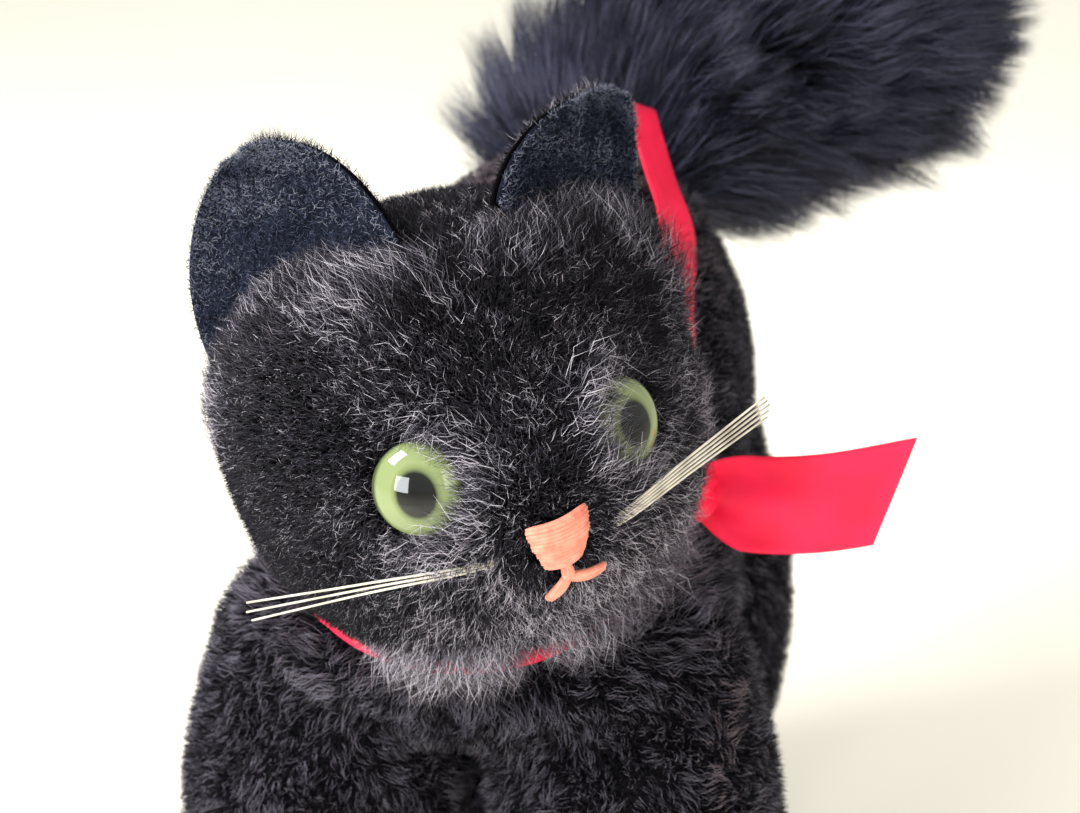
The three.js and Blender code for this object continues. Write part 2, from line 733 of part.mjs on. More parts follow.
function headStuffing() {
  const filling = headForm(SKIN + GAP).subtract(belowNeck(SKIN + GAP));
  const discRoom = solid(headAxisBar(DISC_RADIUS + GAP, -1, SKIN + 7));
  return without(filling, [...headCuts(), discRoom, eyeWireRoom(1), eyeWireRoom(-1)]);
}

add(headGroup, "head_panel_left", headPanel(1), mohair);
add(headGroup, "head_panel_right", headPanel(-1), mohair);
add(headGroup, "head_gusset", headCloth().intersect(headGussetBlock(-GAP / 2)), mohair);
add(headGroup, "head_stuffing", headStuffing(), stuffing);

const headDiscLow = SKIN + GAP;
const headWasherLow = headDiscLow + DISC_THICKNESS + GAP;
const headPinTop = headWasherLow + WASHER_THICKNESS + GAP;
const headHole = solid(headAxisBar(PIN_RADIUS + 0.4, -5, 20));
const headRound = (radius, height, thickness) =>
  solid(headAxisBar(radius, height, thickness)).subtract(headHole);
add(headGroup, "neck_disc_head", headRound(DISC_RADIUS, headDiscLow, DISC_THICKNESS), board);
add(
  headGroup,
  "neck_washer_head",
  headRound(WASHER_RADIUS, headWasherLow, WASHER_THICKNESS),
  steel,
);
const pinHead = solid(headAxisBar(PIN_END_RADIUS, headPinTop, 1.2));
const pinShank = solid(headAxisBar(PIN_RADIUS, -7, headPinTop + 7.5));
const pinFoot = solid(headAxisBar(PIN_END_RADIUS, -7.4, 0.9));
add(headGroup, "neck_pin", joined([pinHead, pinShank, pinFoot]), steel);

const SIDES = [
  ["left", 1],
  ["right", -1],
];
for (const [word, side] of SIDES) {
  add(headGroup, `ear_velvet_${word}`, ear(word, side, FELT + GAP, GAP), velvet);
  add(headGroup, `ear_back_${word}`, ear(word, side, -GAP / 2, -FELT - GAP / 2), mohair);
  add(headGroup, `eye_${word}`, eye(side), glass);
  add(headGroup, `eye_wire_${word}`, rod(eyeWirePoints(side), EYE_WIRE_RADIUS, 14, 3), steel);
  const bundle = WHISKERS[word];
  for (let number = 0; number < bundle.count; number += 1) {
    const strand = rod(whiskerPoints(bundle, number), WHISKER_RADIUS, 6, 3);
    add(headGroup, `whisker_${word}_${number + 1}`, strand, bristle);
  }
}
add(headGroup, "nose_stitch", noseStitch(), thread);
add(headGroup, "mouth_stitch", mouthStitch(), thread);

const middle = new THREE.Box3().setFromObject(cat, true).getCenter(new THREE.Vector3());
cat.position.set(-middle.x, -middle.y, 0);

export default cat;
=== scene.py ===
import json
import math

import bmesh
import bpy
import numpy as np
from mathutils import Matrix, Vector
from mathutils.kdtree import KDTree


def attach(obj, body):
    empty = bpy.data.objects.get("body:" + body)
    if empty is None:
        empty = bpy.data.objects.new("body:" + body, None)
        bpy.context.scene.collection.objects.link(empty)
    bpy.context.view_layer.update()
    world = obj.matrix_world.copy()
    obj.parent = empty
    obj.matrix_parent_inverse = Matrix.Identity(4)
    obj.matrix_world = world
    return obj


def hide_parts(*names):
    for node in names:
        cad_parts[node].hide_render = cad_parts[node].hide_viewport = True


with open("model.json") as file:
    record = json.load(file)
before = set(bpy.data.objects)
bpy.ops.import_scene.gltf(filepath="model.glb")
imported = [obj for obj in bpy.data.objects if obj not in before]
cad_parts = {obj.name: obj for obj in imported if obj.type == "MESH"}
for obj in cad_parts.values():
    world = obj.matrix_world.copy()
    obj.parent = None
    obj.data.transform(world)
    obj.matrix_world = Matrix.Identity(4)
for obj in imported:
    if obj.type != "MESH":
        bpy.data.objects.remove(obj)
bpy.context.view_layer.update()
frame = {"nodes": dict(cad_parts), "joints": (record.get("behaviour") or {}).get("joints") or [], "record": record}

# The looks of a black mohair cat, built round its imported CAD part.
# Forms are drawn in millimetres about the middle of the cat's own body: it faces -Y, its left is
# +X, and the ground is z = 0. The head is drawn about its own centre, looking along -Y.
MM = 0.001
HEAD_FORWARD = 39.7  # of the head's centre in front of the body's middle
HEAD_TURN = math.radians(33)
HEAD_RADIUS = 26.5
NECK_DROP = 17  # from the head's centre to the flat where head and body meet

# How many hairs each layer of pile has, and how many triangles one piece of hair may have.
BODY_UNDERCOAT, BODY_HAIRS = 110000, 95000
HEAD_UNDERCOAT, HEAD_HAIRS = 90000, 110000
EAR_FUZZ_HAIRS, EAR_BACK_HAIRS = 10000, 6000
TAIL_HAIRS = 42000
PIECE_TRIANGLES = 190000
DENSITY = 1.0

JOINTS = {joint["name"]: joint for joint in frame["joints"]}
NECK_AXIS = np.array(JOINTS["neck_swivel"]["axis"], float)
NECK_POINT = np.array(JOINTS["neck_swivel"]["pos_m"], float) / MM
TAIL_POINT = np.array(JOINTS["tail_bend"]["pos_m"], float) / MM
ROW_HEAD = NECK_POINT + NECK_DROP * NECK_AXIS
MIDDLE = np.array((ROW_HEAD[0], ROW_HEAD[1] + HEAD_FORWARD, 0))
HEAD_CENTRE = ROW_HEAD - MIDDLE
TAIL_ROOT = TAIL_POINT - MIDDLE
TURN = np.array(Matrix.Rotation(HEAD_TURN, 3, Vector(NECK_AXIS)))
SIDES = (("left", 1), ("right", -1))


def unit(vectors):
    lengths = np.linalg.norm(vectors, axis=-1, keepdims=True)
    return vectors / np.maximum(lengths, 1e-9)


def from_head(points):
    """Points drawn about the head's own centre, moved to where the turned head holds them."""
    return np.asarray(points, float) @ TURN.T + HEAD_CENTRE


def through(points, t):
    """Places on a smooth line through the given points, with t running from 0 to 1."""
    points = np.asarray(points, float)
    before = 2 * points[0] - points[1]
    after = 2 * points[-1] - points[-2]
    padded = np.vstack([before, points, after])
    spot = np.clip(t, 0, 1) * (len(points) - 1)
    index = np.minimum(spot.astype(int), len(points) - 2)
    f = (spot - index)[:, None]
    a, b, c, d = (padded[index + k] for k in range(4))
    bend = (2 * a - 5 * b + 4 * c - d) * f**2 + (3 * b - a - 3 * c + d) * f**3
    return 0.5 * (2 * b + (c - a) * f + bend)


def ripple(points, size, seed):
    """A smooth random field between about -1 and 1, whose patches are about size across."""
    rng = np.random.default_rng(seed)
    total = np.zeros(len(points))
    for _ in range(8):
        way = unit(rng.normal(size=3)) * rng.uniform(0.6, 1.6) * 2 * math.pi / (2 * size)
        total += np.sin(points @ way + rng.uniform(0, 2 * math.pi))
    return total / 3


def drift(points, size, *seeds):
    """A smooth random direction at each point, from one ripple for each axis."""
    return np.stack([ripple(points, size, seed) for seed in seeds], 1)


# ---------- Meshes ----------
def new_mesh(name, points, loops, totals, picks=None):
    """A mesh from its points, its flat list of face corners and the corner count of each face."""
    mesh = bpy.data.meshes.new(name)
    mesh.vertices.add(len(points))
    mesh.vertices.foreach_set("co", np.asarray(points, np.float32).ravel())
    mesh.loops.add(len(loops))
    mesh.loops.foreach_set("vertex_index", np.asarray(loops, np.int32))
    mesh.polygons.add(len(totals))
    starts = np.concatenate([[0], np.cumsum(totals)[:-1]])
    mesh.polygons.foreach_set("loop_start", starts.astype(np.int32))
    if picks is not None:
        mesh.polygons.foreach_set("material_index", np.asarray(picks, np.int32))
    mesh.polygons.foreach_set("use_smooth", np.ones(len(totals), bool))
    mesh.update()
    mesh.validate()
    return mesh


def face_outwards(mesh):
    whole = bmesh.new()
    whole.from_mesh(mesh)
    bmesh.ops.recalc_face_normals(whole, faces=whole.faces)
    whole.to_mesh(mesh)
    whole.free()


def add_piece(name, points, faces, materials, body, picks=None):
    """A piece from millimetre points and faces of any size, which rides on a CAD body."""
    points = (np.asarray(points) + MIDDLE) * MM
    if isinstance(faces, tuple):
        loops, totals = faces
    else:
        loops = np.concatenate([np.asarray(face) for face in faces])
        totals = np.array([len(face) for face in faces])
    mesh = new_mesh(name, points, loops, totals, picks)
    if not isinstance(faces, tuple):
        face_outwards(mesh)
    for material in materials:
        mesh.materials.append(material)
    obj = bpy.data.objects.new(name, mesh)
    bpy.context.scene.collection.objects.link(obj)
    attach(obj, body)
    return obj


def grid_faces(rows, columns, closed=False):
    """Quads of a grid of points in row order; closed joins its last column to its first."""
    wide = columns if closed else columns - 1
    i, j = np.meshgrid(np.arange(rows - 1), np.arange(wide), indexing="ij")
    k = (j + 1) % columns
    here, below = i * columns, (i + 1) * columns
    quads = np.stack([here + j, here + k, below + k, below + j], -1)
    return quads.reshape(-1, 4)


def sheet_faces(rows, columns):
    """Faces of a closed sheet whose two sides are grids of points, one grid after the other."""
    count = rows * columns
    quads = grid_faces(rows, columns)
    faces = [tuple(quad) for quad in quads] + [tuple(quad[::-1] + count) for quad in quads]
    rim = [i * columns for i in range(rows)]
    rim += [(rows - 1) * columns + j for j in range(1, columns)]
    rim += [i * columns + columns - 1 for i in range(rows - 2, -1, -1)]
    rim += list(range(columns - 2, 0, -1))
    for here, there in zip(rim, rim[1:] + rim[:1]):
        faces.append((there, here, here + count, there + count))
    return faces


def tube(rings):
    """Points and faces of a closed form: rings of points (rows, around, 3) with both ends capped."""
    rings = np.asarray(rings)
    rows, around = rings.shape[:2]
    faces = [tuple(quad) for quad in grid_faces(rows, around, closed=True)]
    faces.append(tuple(range(around))[::-1])
    faces.append(tuple(range((rows - 1) * around, rows * around)))
    return rings.reshape(-1, 3), faces


def rod(line, radius, around=10, taper=None):
    """A round bar along a line of points; taper scales its radius at each point."""
    line = np.asarray(line, float)
    along = unit(np.gradient(line, axis=0))
    side = unit(np.cross(along, (0.3, 0.5, 0.8)))
    up = np.cross(along, side)
    angle = np.linspace(0, 2 * math.pi, around, endpoint=False)
    scale = np.full(len(line), radius) if taper is None else radius * np.asarray(taper)
    ring = np.cos(angle)[None, :, None] * side[:, None] + np.sin(angle)[None, :, None] * up[:, None]
    return tube(line[:, None] + ring * scale[:, None, None])


def merged(parts):
    """Several (points, faces) forms as one."""
    points, faces, first = [], [], 0
    for part_points, part_faces in parts:
        points.append(part_points)
        faces += [tuple(int(v) + first for v in face) for face in part_faces]
        first += len(part_points)
    return np.vstack(points), faces


def loft(stations, around=28, along=40, inset=0.0):
    """Oval sections of changing size along a smooth line; a station is (centre, wide, deep)."""
    t = np.linspace(0, 1, along)
    centre = through([station[0] for station in stations], t)
    size = through([(station[1], station[2], 0) for station in stations], t)
    forward = unit(np.gradient(centre, axis=0))
    side = unit(np.array((1.0, 0, 0)) - forward * forward[:, :1])
    up = np.cross(forward, side)
    angle = np.linspace(0, 2 * math.pi, around, endpoint=False)
    wide = np.maximum(size[:, 0] - inset, 0.5)[:, None, None]
    deep = np.maximum(size[:, 1] - inset, 0.5)[:, None, None]
    rings = centre[:, None] + side[:, None] * np.sin(angle)[None, :, None] * wide
    return tube(rings + up[:, None] * np.cos(angle)[None, :, None] * deep)


def ellipsoid(half, centre, around=24, down=16):
    polar = np.linspace(0.02, math.pi - 0.02, down)
    angle = np.linspace(0, 2 * math.pi, around, endpoint=False)
    rings = np.empty((down, around, 3))
    rings[..., 0] = half[0] * np.sin(polar)[:, None] * np.cos(angle)
    rings[..., 1] = half[1] * np.sin(polar)[:, None] * np.sin(angle)
    rings[..., 2] = half[2] * np.cos(polar)[:, None]
    return tube(rings + np.asarray(centre))


def arrays_of(mesh):
    """Points, normals and triangles of a mesh as arrays."""
    mesh.calc_loop_triangles()
    points = np.empty(len(mesh.vertices) * 3, np.float32)
    normals = np.empty(len(mesh.vertices) * 3, np.float32)
    triangles = np.empty(len(mesh.loop_triangles) * 3, np.int32)
    mesh.vertices.foreach_get("co", points)
    mesh.vertices.foreach_get("normal", normals)
    mesh.loop_triangles.foreach_get("vertices", triangles)
    points, normals = (values.reshape(-1, 3).astype(float) for values in (points, normals))
    return points, normals, triangles.reshape(-1, 3)


def fused(parts, voxel, smoothing):
    """Overlapping forms joined into one smooth skin: its points and faces."""
    points, faces = merged(parts)
    loops = np.concatenate([np.asarray(face) for face in faces])
    mesh = new_mesh("fused", points, loops, np.array([len(face) for face in faces]))
    obj = bpy.data.objects.new("fused", mesh)
    bpy.context.scene.collection.objects.link(obj)
    remesh = obj.modifiers.new("remesh", "REMESH")
    remesh.mode = "VOXEL"
    remesh.voxel_size = voxel
    smooth = obj.modifiers.new("smooth", "SMOOTH")
    smooth.factor = 0.5
    smooth.iterations = smoothing
    depsgraph = bpy.context.evaluated_depsgraph_get()
    result = bpy.data.meshes.new_from_object(obj.evaluated_get(depsgraph))
    places = np.empty(len(result.vertices) * 3, np.float32)
    result.vertices.foreach_get("co", places)
    corners = np.empty(len(result.loops), np.int32)
    result.loops.foreach_get("vertex_index", corners)
    totals = np.empty(len(result.polygons), np.int32)
    result.polygons.foreach_get("loop_total", totals)
    bpy.data.objects.remove(obj)
    return places.reshape(-1, 3).astype(float), (corners, totals)


# ---------- Materials ----------
def principled(name, color, roughness, **inputs):
    material = bpy.data.materials.new(name)
    material.use_nodes = True
    shader = material.node_tree.nodes["Principled BSDF"]
    shader.inputs["Base Color"].default_value = (*color, 1)
    shader.inputs["Roughness"].default_value = roughness
    for key, value in inputs.items():
        shader.inputs[key.replace("_", " ")].default_value = value
    return material, material.node_tree, shader


def add_node(tree, kind, **settings):
    node = tree.nodes.new(kind)
    for key, value in settings.items():
        if key in node.inputs:
            node.inputs[key].default_value = value
        else:
            setattr(node, key, value)
    return node


def noise_at(tree, scale, detail=4.0):
    """A noise texture in the object's own metres."""
    place = add_node(tree, "ShaderNodeTexCoord")
    noise = add_node(tree, "ShaderNodeTexNoise", Scale=scale, Detail=detail)
    tree.links.new(place.outputs["Object"], noise.inputs["Vector"])
    return noise


def ramp(tree, source, stops):
    """A colour ramp; each stop is (place, colour)."""
    node = add_node(tree, "ShaderNodeValToRGB")
    elements = node.color_ramp.elements
    while len(elements) < len(stops):
        elements.new(0.5)
    for element, (place, color) in zip(elements, stops):
        element.position = place
        element.color = (*color, 1)
    tree.links.new(source, node.inputs["Fac"])
    return node.outputs["Color"]


def bump(tree, shader, height, strength, distance):
    node = add_node(tree, "ShaderNodeBump", Strength=strength, Distance=distance)
    tree.links.new(height, node.inputs["Height"])
    tree.links.new(node.outputs["Normal"], shader.inputs["Normal"])


def mottled(name, dark, light, roughness, scale, grain, **inputs):
    """A soft surface whose colour drifts between two shades, with a fine grain of bumps."""
    material, tree, shader = principled(name, dark, roughness, **inputs)
    color = ramp(tree, noise_at(tree, scale).outputs["Fac"], [(0.35, dark), (0.65, light)])
    tree.links.new(color, shader.inputs["Base Color"])
    bump(tree, shader, noise_at(tree, grain).outputs["Fac"], 0.5, 0.0002)
    return material


def hair_material(name, color, shine=0.3, roughness=0.6):
    """One shade of pile; its shine drifts from lock to lock."""
    material, tree, shader = principled(name, color, roughness)
    spread = add_node(tree, "ShaderNodeMapRange")
    spread.inputs["To Min"].default_value = 0.3 * shine
    spread.inputs["To Max"].default_value = 1.7 * shine
    tree.links.new(noise_at(tree, 400).outputs["Fac"], spread.inputs["Value"])
    tree.links.new(spread.outputs["Result"], shader.inputs["Specular IOR Level"])
    return material


SKIN = mottled(
    "mohair_cloth",
    (0.0012, 0.0011, 0.0018),
    (0.003, 0.0027, 0.0036),
    1.0,
    300,
    3000,
    Specular_IOR_Level=0.02,
)
PILE = [
    hair_material("pile_black", (0.0020, 0.0018, 0.0030), 0.10),
    hair_material("pile_dark", (0.012, 0.0105, 0.0165), 0.18),
    hair_material("pile_grey", (0.115, 0.102, 0.132), 0.25),
    hair_material("pile_light", (0.42, 0.39, 0.44), 0.3),
    # A pink-grey shade: a pale line down the left front leg, and painted light on top of the back.
    hair_material("pile_pink_grey", (0.17, 0.13, 0.14), 0.2),
    hair_material("pile_matted", (0.080, 0.072, 0.095), 0.2),
]
BLACK, DARK, GREY, LIGHT, PINK_GREY, MATTED = range(6)
TAIL_PILE = [
    hair_material("plume_black", (0.0018, 0.0018, 0.0034), 0.16, 0.5),
    hair_material("plume_dark", (0.018, 0.019, 0.041), 0.3, 0.45),
    hair_material("plume_grey", (0.060, 0.062, 0.108), 0.35, 0.45),
]
VELVET = mottled(
    "ear_velvet",
    (0.0030, 0.0042, 0.0085),
    (0.0085, 0.0105, 0.0185),
    1.0,
    500,
    6000,
    Specular_IOR_Level=0.05,
)
FUZZ = [
    hair_material("fuzz_dark", (0.0055, 0.0070, 0.0130), 0.08),
    hair_material("fuzz_blue", (0.060, 0.070, 0.112), 0.15),
    hair_material("fuzz_rim", (0.20, 0.21, 0.26), 0.25),
]
RIM = 2  # of FUZZ


# ---------- Pile ----------
def scatter(points, normals, triangles, count, rng, keep=None):
    """Random roots spread evenly over a skin, with the skin's normal at each."""
    a, b, c = (points[triangles[:, k]] for k in range(3))
    area = np.linalg.norm(np.cross(b - a, c - a), axis=1)
    if keep is not None:
        area = area * keep((a + b + c) / 3)
    pick = rng.choice(len(triangles), count, p=area / area.sum())
    u, v = rng.random((2, count))
    flip = u + v > 1
    u, v = np.where(flip, 1 - u, u), np.where(flip, 1 - v, v)
    weights = np.stack([1 - u - v, u, v], 1)
    roots = sum(points[triangles[pick, k]] * weights[:, k : k + 1] for k in range(3))
    out = unit(sum(normals[triangles[pick, k]] * weights[:, k : k + 1] for k in range(3)))
    return roots, out


def flat_on(vectors, normals):
    """Vectors laid flat on the skin."""
    return unit(vectors - normals * (vectors * normals).sum(1, keepdims=True))


def strand_lines(roots, ways, falls, lengths, curl, steps, rng):
    """Middle lines of hairs (count, steps + 1, 3) that leave along ways and bend towards falls."""
    count = len(roots)
    t = np.linspace(0, 1, steps + 1)[None, :, None]
    reach = lengths[:, None, None]
    lines = roots[:, None] + reach * (ways[:, None] * t + falls[:, None] * t**2)
    side = unit(np.cross(ways, rng.normal(size=(count, 3))))
    other = np.cross(ways, side)
    phase = rng.uniform(0, 2 * math.pi, (count, 1, 1))
    pace = rng.uniform(0.6, 1.3, (count, 1, 1)) * 2 * math.pi
    wave = side[:, None] * (np.sin(pace * t + phase) - np.sin(phase))
    wave = wave + other[:, None] * (np.cos(pace * t + phase) - np.cos(phase))
    return lines + wave * (curl * reach)


def gathered(lines, share, strength, rng):
    """Draws the tips of neighbouring hairs together into locks; share is locks per hair."""
    count = len(lines)
    centres = rng.choice(count, max(int(count * share), 1), replace=False)
    tree = KDTree(len(centres))
    for number, centre in enumerate(centres):
        tree.insert(lines[centre, 0], number)
    tree.balance()
    nearest = np.array([tree.find(root)[1] for root in lines[:, 0]])
    leader = lines[centres[nearest]]
    t = np.linspace(0, 1, lines.shape[1])[None, :, None]
    pull = strength * t**1.4
    return lines * (1 - pull) + (leader + 0.25 * (lines[:, :1] - leader[:, :1])) * pull


def hair_mesh(lines, radius, picks, name, materials, body):
    """Fine three-sided closed hairs, each tapering to a point, as one piece."""
    count, places = lines.shape[:2]
    rings = places - 1
    along = unit(lines[:, -1] - lines[:, 0])
    side = unit(np.cross(along, (0.31, 0.52, 0.79)))
    other = np.cross(along, side)
    angle = np.arange(3) * 2 * math.pi / 3
    spread = np.cos(angle)[None, :, None] * side[:, None] + np.sin(angle)[None, :, None] * other[:, None]
    taper = np.linspace(1, 0.45, rings)
    body_points = lines[:, :rings, None] + spread[:, None] * (radius[:, None] * taper)[..., None, None]
    points = np.concatenate([body_points.reshape(count, rings * 3, 3), lines[:, -1:]], 1)
    size = rings * 3 + 1
    faces = [(2, 1, 0)]
    for ring in range(rings - 1):
        for k in range(3):
            low, next_low = ring * 3 + k, ring * 3 + (k + 1) % 3
            faces.append((low, next_low, next_low + 3, low + 3))
    top = (rings - 1) * 3
    faces += [(top + k, top + (k + 1) % 3, rings * 3) for k in range(3)]
    one = np.concatenate([np.array(face) for face in faces])
    first = (np.arange(count) * size)[:, None]
    loops = (first + one[None]).ravel()
    totals = np.tile([len(face) for face in faces], count)
    picked = np.repeat(picks, len(faces))
    return add_piece(name, points.reshape(-1, 3), (loops, totals), materials, body, picked)


def grow(name, lines, radius, picks, materials, body):
    """Hairs split into pieces of up to PIECE_TRIANGLES triangles."""
    each = 6 * (lines.shape[1] - 2) + 4
    limit = PIECE_TRIANGLES // each
    parts = max(math.ceil(len(lines) / limit), 1)
    for number in range(parts):
        part = slice(number, None, parts)
        label = f"{name}_{number + 1}"
        hair_mesh(lines[part], radius[part], picks[part], label, materials, body)


def undercoat(name, roots, out, lengths, body, rng, place=np.asarray):
    """A dense short layer of straight dark hairs below the curled pile."""
    ways = unit(out + 0.55 * unit(rng.normal(size=roots.shape)))
    lines = np.stack([roots - 0.3 * out, roots + lengths[:, None] * ways], 1)
    picks = np.where(rng.random(len(roots)) < 0.3, DARK, BLACK)
    grow(name, place(lines), rng.uniform(0.10, 0.15, len(roots)), picks, PILE, body)


def shades(roots, weights, size, seed, rng):
    """A shade for each hair, drawn by weight; light and dark ones drift in patches."""
    patches = 0.18 * ripple(roots, size, seed)
    draw = np.clip(rng.random(len(roots)) + patches, 0, 0.9999)
    return np.searchsorted(np.cumsum(weights) / np.sum(weights), draw)


# ---------- Body ----------
CHEST = [
    ((0, -34.4, 101.8), 20.5, 20.5),
    ((0, -34, 96.5), 24, 20.5),
    ((0, -33.5, 91), 30, 20),
    ((0, -33.5, 85), 34, 18),
    ((0, -34, 80), 31, 14.5),
    ((0, -34, 76), 22, 9),
]
ARCH = [
    ((0, -40, 84), 14, 9),
    ((0, -30, 86), 29, 18),
    ((0, -15, 88), 31, 25),
    ((0, 0, 92), 30, 32),
    ((0, 16, 95), 29.5, 38),
    ((0, 32, 92), 29, 39),
    ((0, 45, 85), 27.5, 33),
    ((0, 54, 82), 22, 25),
    ((0, 59, 81), 11, 13),
]
FRONT_SPREAD, REAR_SPREAD, FRONT_FOOT, REAR_FOOT = 23.5, 21, -46, 38
PAW, PAW_REACH, GROUND = (13, 16.5, 13), 4, 1.8
SEAT_RADIUS, BAND_RADIUS = 27.7, 22.5
NAP = (0.0, 0.55, -0.85)  # down the legs and chest, and backwards over the arch


def front_leg(side):
    return [
        ((side * 17, -33, 88), 14.5, 13),
        ((side * 20.5, -35, 66), 17.5, 15.5),
        ((side * 23, -38.5, 44), 15.8, 13.8),
        ((side * FRONT_SPREAD, -42.5, 22), 13.2, 12),
        ((side * FRONT_SPREAD, FRONT_FOOT, 0), 12, 11.5),
    ]


def rear_leg(side):
    return [
        ((side * 15, 28, 92), 14, 19),
        ((side * 19.5, 28, 68), 17, 19),
        ((side * 22, 32, 46), 15.5, 15.5),
        ((side * REAR_SPREAD, 36, 24), 12.8, 12.5),
        ((side * REAR_SPREAD, REAR_FOOT, 0), 12, 11.5),
    ]


def along_axis(points):
    """Height above the head's centre along the neck's axis, and distance from that axis."""
    apart = points - HEAD_CENTRE
    height = apart @ NECK_AXIS
    radius = np.linalg.norm(apart - height[:, None] * NECK_AXIS, axis=1)
    return height, radius


def body_skin():
    parts = [loft(CHEST, inset=-0.6), loft(ARCH)]
    for side in (1, -1):
        parts += [loft(front_leg(side), inset=-1), loft(rear_leg(side))]
        parts.append(ellipsoid(PAW, (side * FRONT_SPREAD, FRONT_FOOT - PAW_REACH, 2)))
        parts.append(ellipsoid(PAW, (side * REAR_SPREAD, REAR_FOOT - PAW_REACH, 2)))
    points, faces = fused(parts, 1.5, 8)
    apart = points - HEAD_CENTRE
    away = np.linalg.norm(apart, axis=1)
    seat = away < SEAT_RADIUS
    points[seat] = HEAD_CENTRE + apart[seat] * (SEAT_RADIUS / away[seat])[:, None]
    height, radius = along_axis(points)
    in_band = (radius > BAND_RADIUS - 0.7) & (radius < BAND_RADIUS + 5)
    groove = (height < -13) & (height > -20.5) & in_band
    on_axis = HEAD_CENTRE + height[:, None] * NECK_AXIS
    drawn = on_axis + (points - on_axis) * ((BAND_RADIUS - 0.7) / np.maximum(radius, 1))[:, None]
    points[groove] = drawn[groove]
    points[:, 2] = np.maximum(points[:, 2], GROUND)
    return points, faces


# A pale line of pink-grey pile down the outer edge of the left front leg.
PALE_LEG_LINE = [
    (33.8, -31, 95),
    (33.6, -37, 91),
    (33.4, -41, 85),
    (33, -45, 79),
    (32.7, -47, 73),
    (32, -48.5, 62),
    (31.5, -50, 48),
    (29, -53, 24),
]


def near_line(points, line, reach):
    """How close points are to a line: 1 on it, falling to 0 at reach."""
    spots = through(line, np.linspace(0, 1, 60))
    apart = np.linalg.norm(points[:, None] - spots[None], axis=2).min(1)
    return np.clip(1 - apart / reach, 0, 1)


def body_cover(centres):
    """How thickly the pile grows: none inside the neck joint, under the ribbon or on the ground."""
    height, radius = along_axis(centres)
    away = np.linalg.norm(centres - HEAD_CENTRE, axis=1)
    under_band = (height > -19.2) & (height < -12) & (radius < BAND_RADIUS + 2)
    hidden = (away < SEAT_RADIUS + 0.3) | under_band | (centres[:, 2] < GROUND + 0.2)
    seen = np.where(centres[:, 1] < -10, 1.7, 1.0)
    return np.where(hidden, 0, seen)


def body_pile():
    points, faces = body_skin()
    skin = add_piece("body_skin", points, faces, [SKIN], "body")
    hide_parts("body_panel_left", "body_panel_right", "belly_gusset")
    places, normals, triangles = arrays_of(skin.data)
    places = places / MM - MIDDLE
    rng = np.random.default_rng(11)
    count = int(BODY_UNDERCOAT * DENSITY)
    roots, out = scatter(places, normals, triangles, count, rng, body_cover)
    undercoat("body_undercoat", roots, out, rng.uniform(1.2, 2.0, count), "body", rng)
    count = int(BODY_HAIRS * DENSITY)
    roots, out = scatter(places, normals, triangles, count, rng, body_cover)
    comb = flat_on(np.tile(NAP, (count, 1)), out)
    loose = unit(rng.normal(size=(count, 3)))
    swirl = flat_on(drift(roots, 6, 3, 13, 23), out)
    ways = unit(0.85 * out + 0.3 * comb + 0.5 * swirl + 0.5 * loose)
    height, radius = along_axis(roots)
    ruff = np.clip(1.3 - np.abs(height + 22) / 3.5, 0, 1) * (radius < 31)
    outwards = unit(roots - HEAD_CENTRE - height[:, None] * NECK_AXIS)
    ways = unit(ways + 1.2 * ruff[:, None] * (0.8 * NECK_AXIS + 0.75 * outwards))
    lengths = rng.uniform(1.7, 3.0, count) * (1 + 0.25 * ripple(roots, 4, 4)) * (1 + 1.2 * ruff)
    chest_seam = (np.abs(roots[:, 0]) < 1.4) & (roots[:, 1] < -38) & (roots[:, 2] > 60)
    lengths = np.where(chest_seam, 0.55 * lengths, lengths)
    lines = strand_lines(roots - 0.3 * out, ways, -0.1 * out, lengths, 0.09, 2, rng)
    lines = gathered(lines, 0.07, 0.6, rng)
    picks = shades(roots, (0.09, 0.15, 0.37, 0.39), 2.6, 5, rng)
    picks = np.choose(picks, (BLACK, DARK, MATTED, GREY))
    # Hairs near that line take the pink-grey shade.
    on_pale_line = near_line(roots, PALE_LEG_LINE, 4.0) * 1.1 > rng.random(count)
    picks = np.where(on_pale_line, PINK_GREY, picks)
    # Painted light: up to 0.6 of the hairs on top of the back, towards the head, take the pink-grey shade,
    # standing for light falling on the back's top.
    painted_back_light = 0.6 * np.clip((roots[:, 2] - 112) / 12, 0, 1) * np.clip((40 - roots[:, 1]) / 12, 0, 1)
    picks = np.where(rng.random(count) < painted_back_light, PINK_GREY, picks)
    radius = rng.uniform(0.06, 0.10, count)
    grow("body_pile", lines, radius, picks, PILE, "body")


# ---------- Head ----------
MUZZLE_BULGE, MUZZLE_CURVE, MUZZLE_RADIUS = 4.5, 14, HEAD_RADIUS + 4.5
EYE_PLACE, EYE_RADIUS, EYE_BACK = (12, -25.4, 5.8), 5, 25.4
EYE_RIM, EYE_DOME = 0.9, 3.4
PILE_SINK = 0.9  # how far the cloth is drawn inside its place
BULGES = [
    ((0, -1, 0.02), MUZZLE_BULGE, 0.42),
    ((0.72, -0.55, -0.3), 1.3, 0.45),
    ((-0.72, -0.55, -0.3), 1.3, 0.45),
    ((0.82, 0.1, 0.56), 2.8, 0.5),
    ((-0.82, 0.1, 0.56), 2.8, 0.5),
]


def head_radius(ways, grown=0.0):
    """How far the head's cloth is from its centre in each direction."""
    radius = np.full(len(ways), HEAD_RADIUS + grown)
    for centre, height, spread in BULGES:
        apart = np.arccos(np.clip(ways @ unit(np.array(centre, float)), -1, 1))
        radius += height * np.exp(-((apart / spread) ** 2))
    return radius


def eye_way(side):
    return unit(np.array((side * EYE_PLACE[0], EYE_PLACE[1], EYE_PLACE[2])))


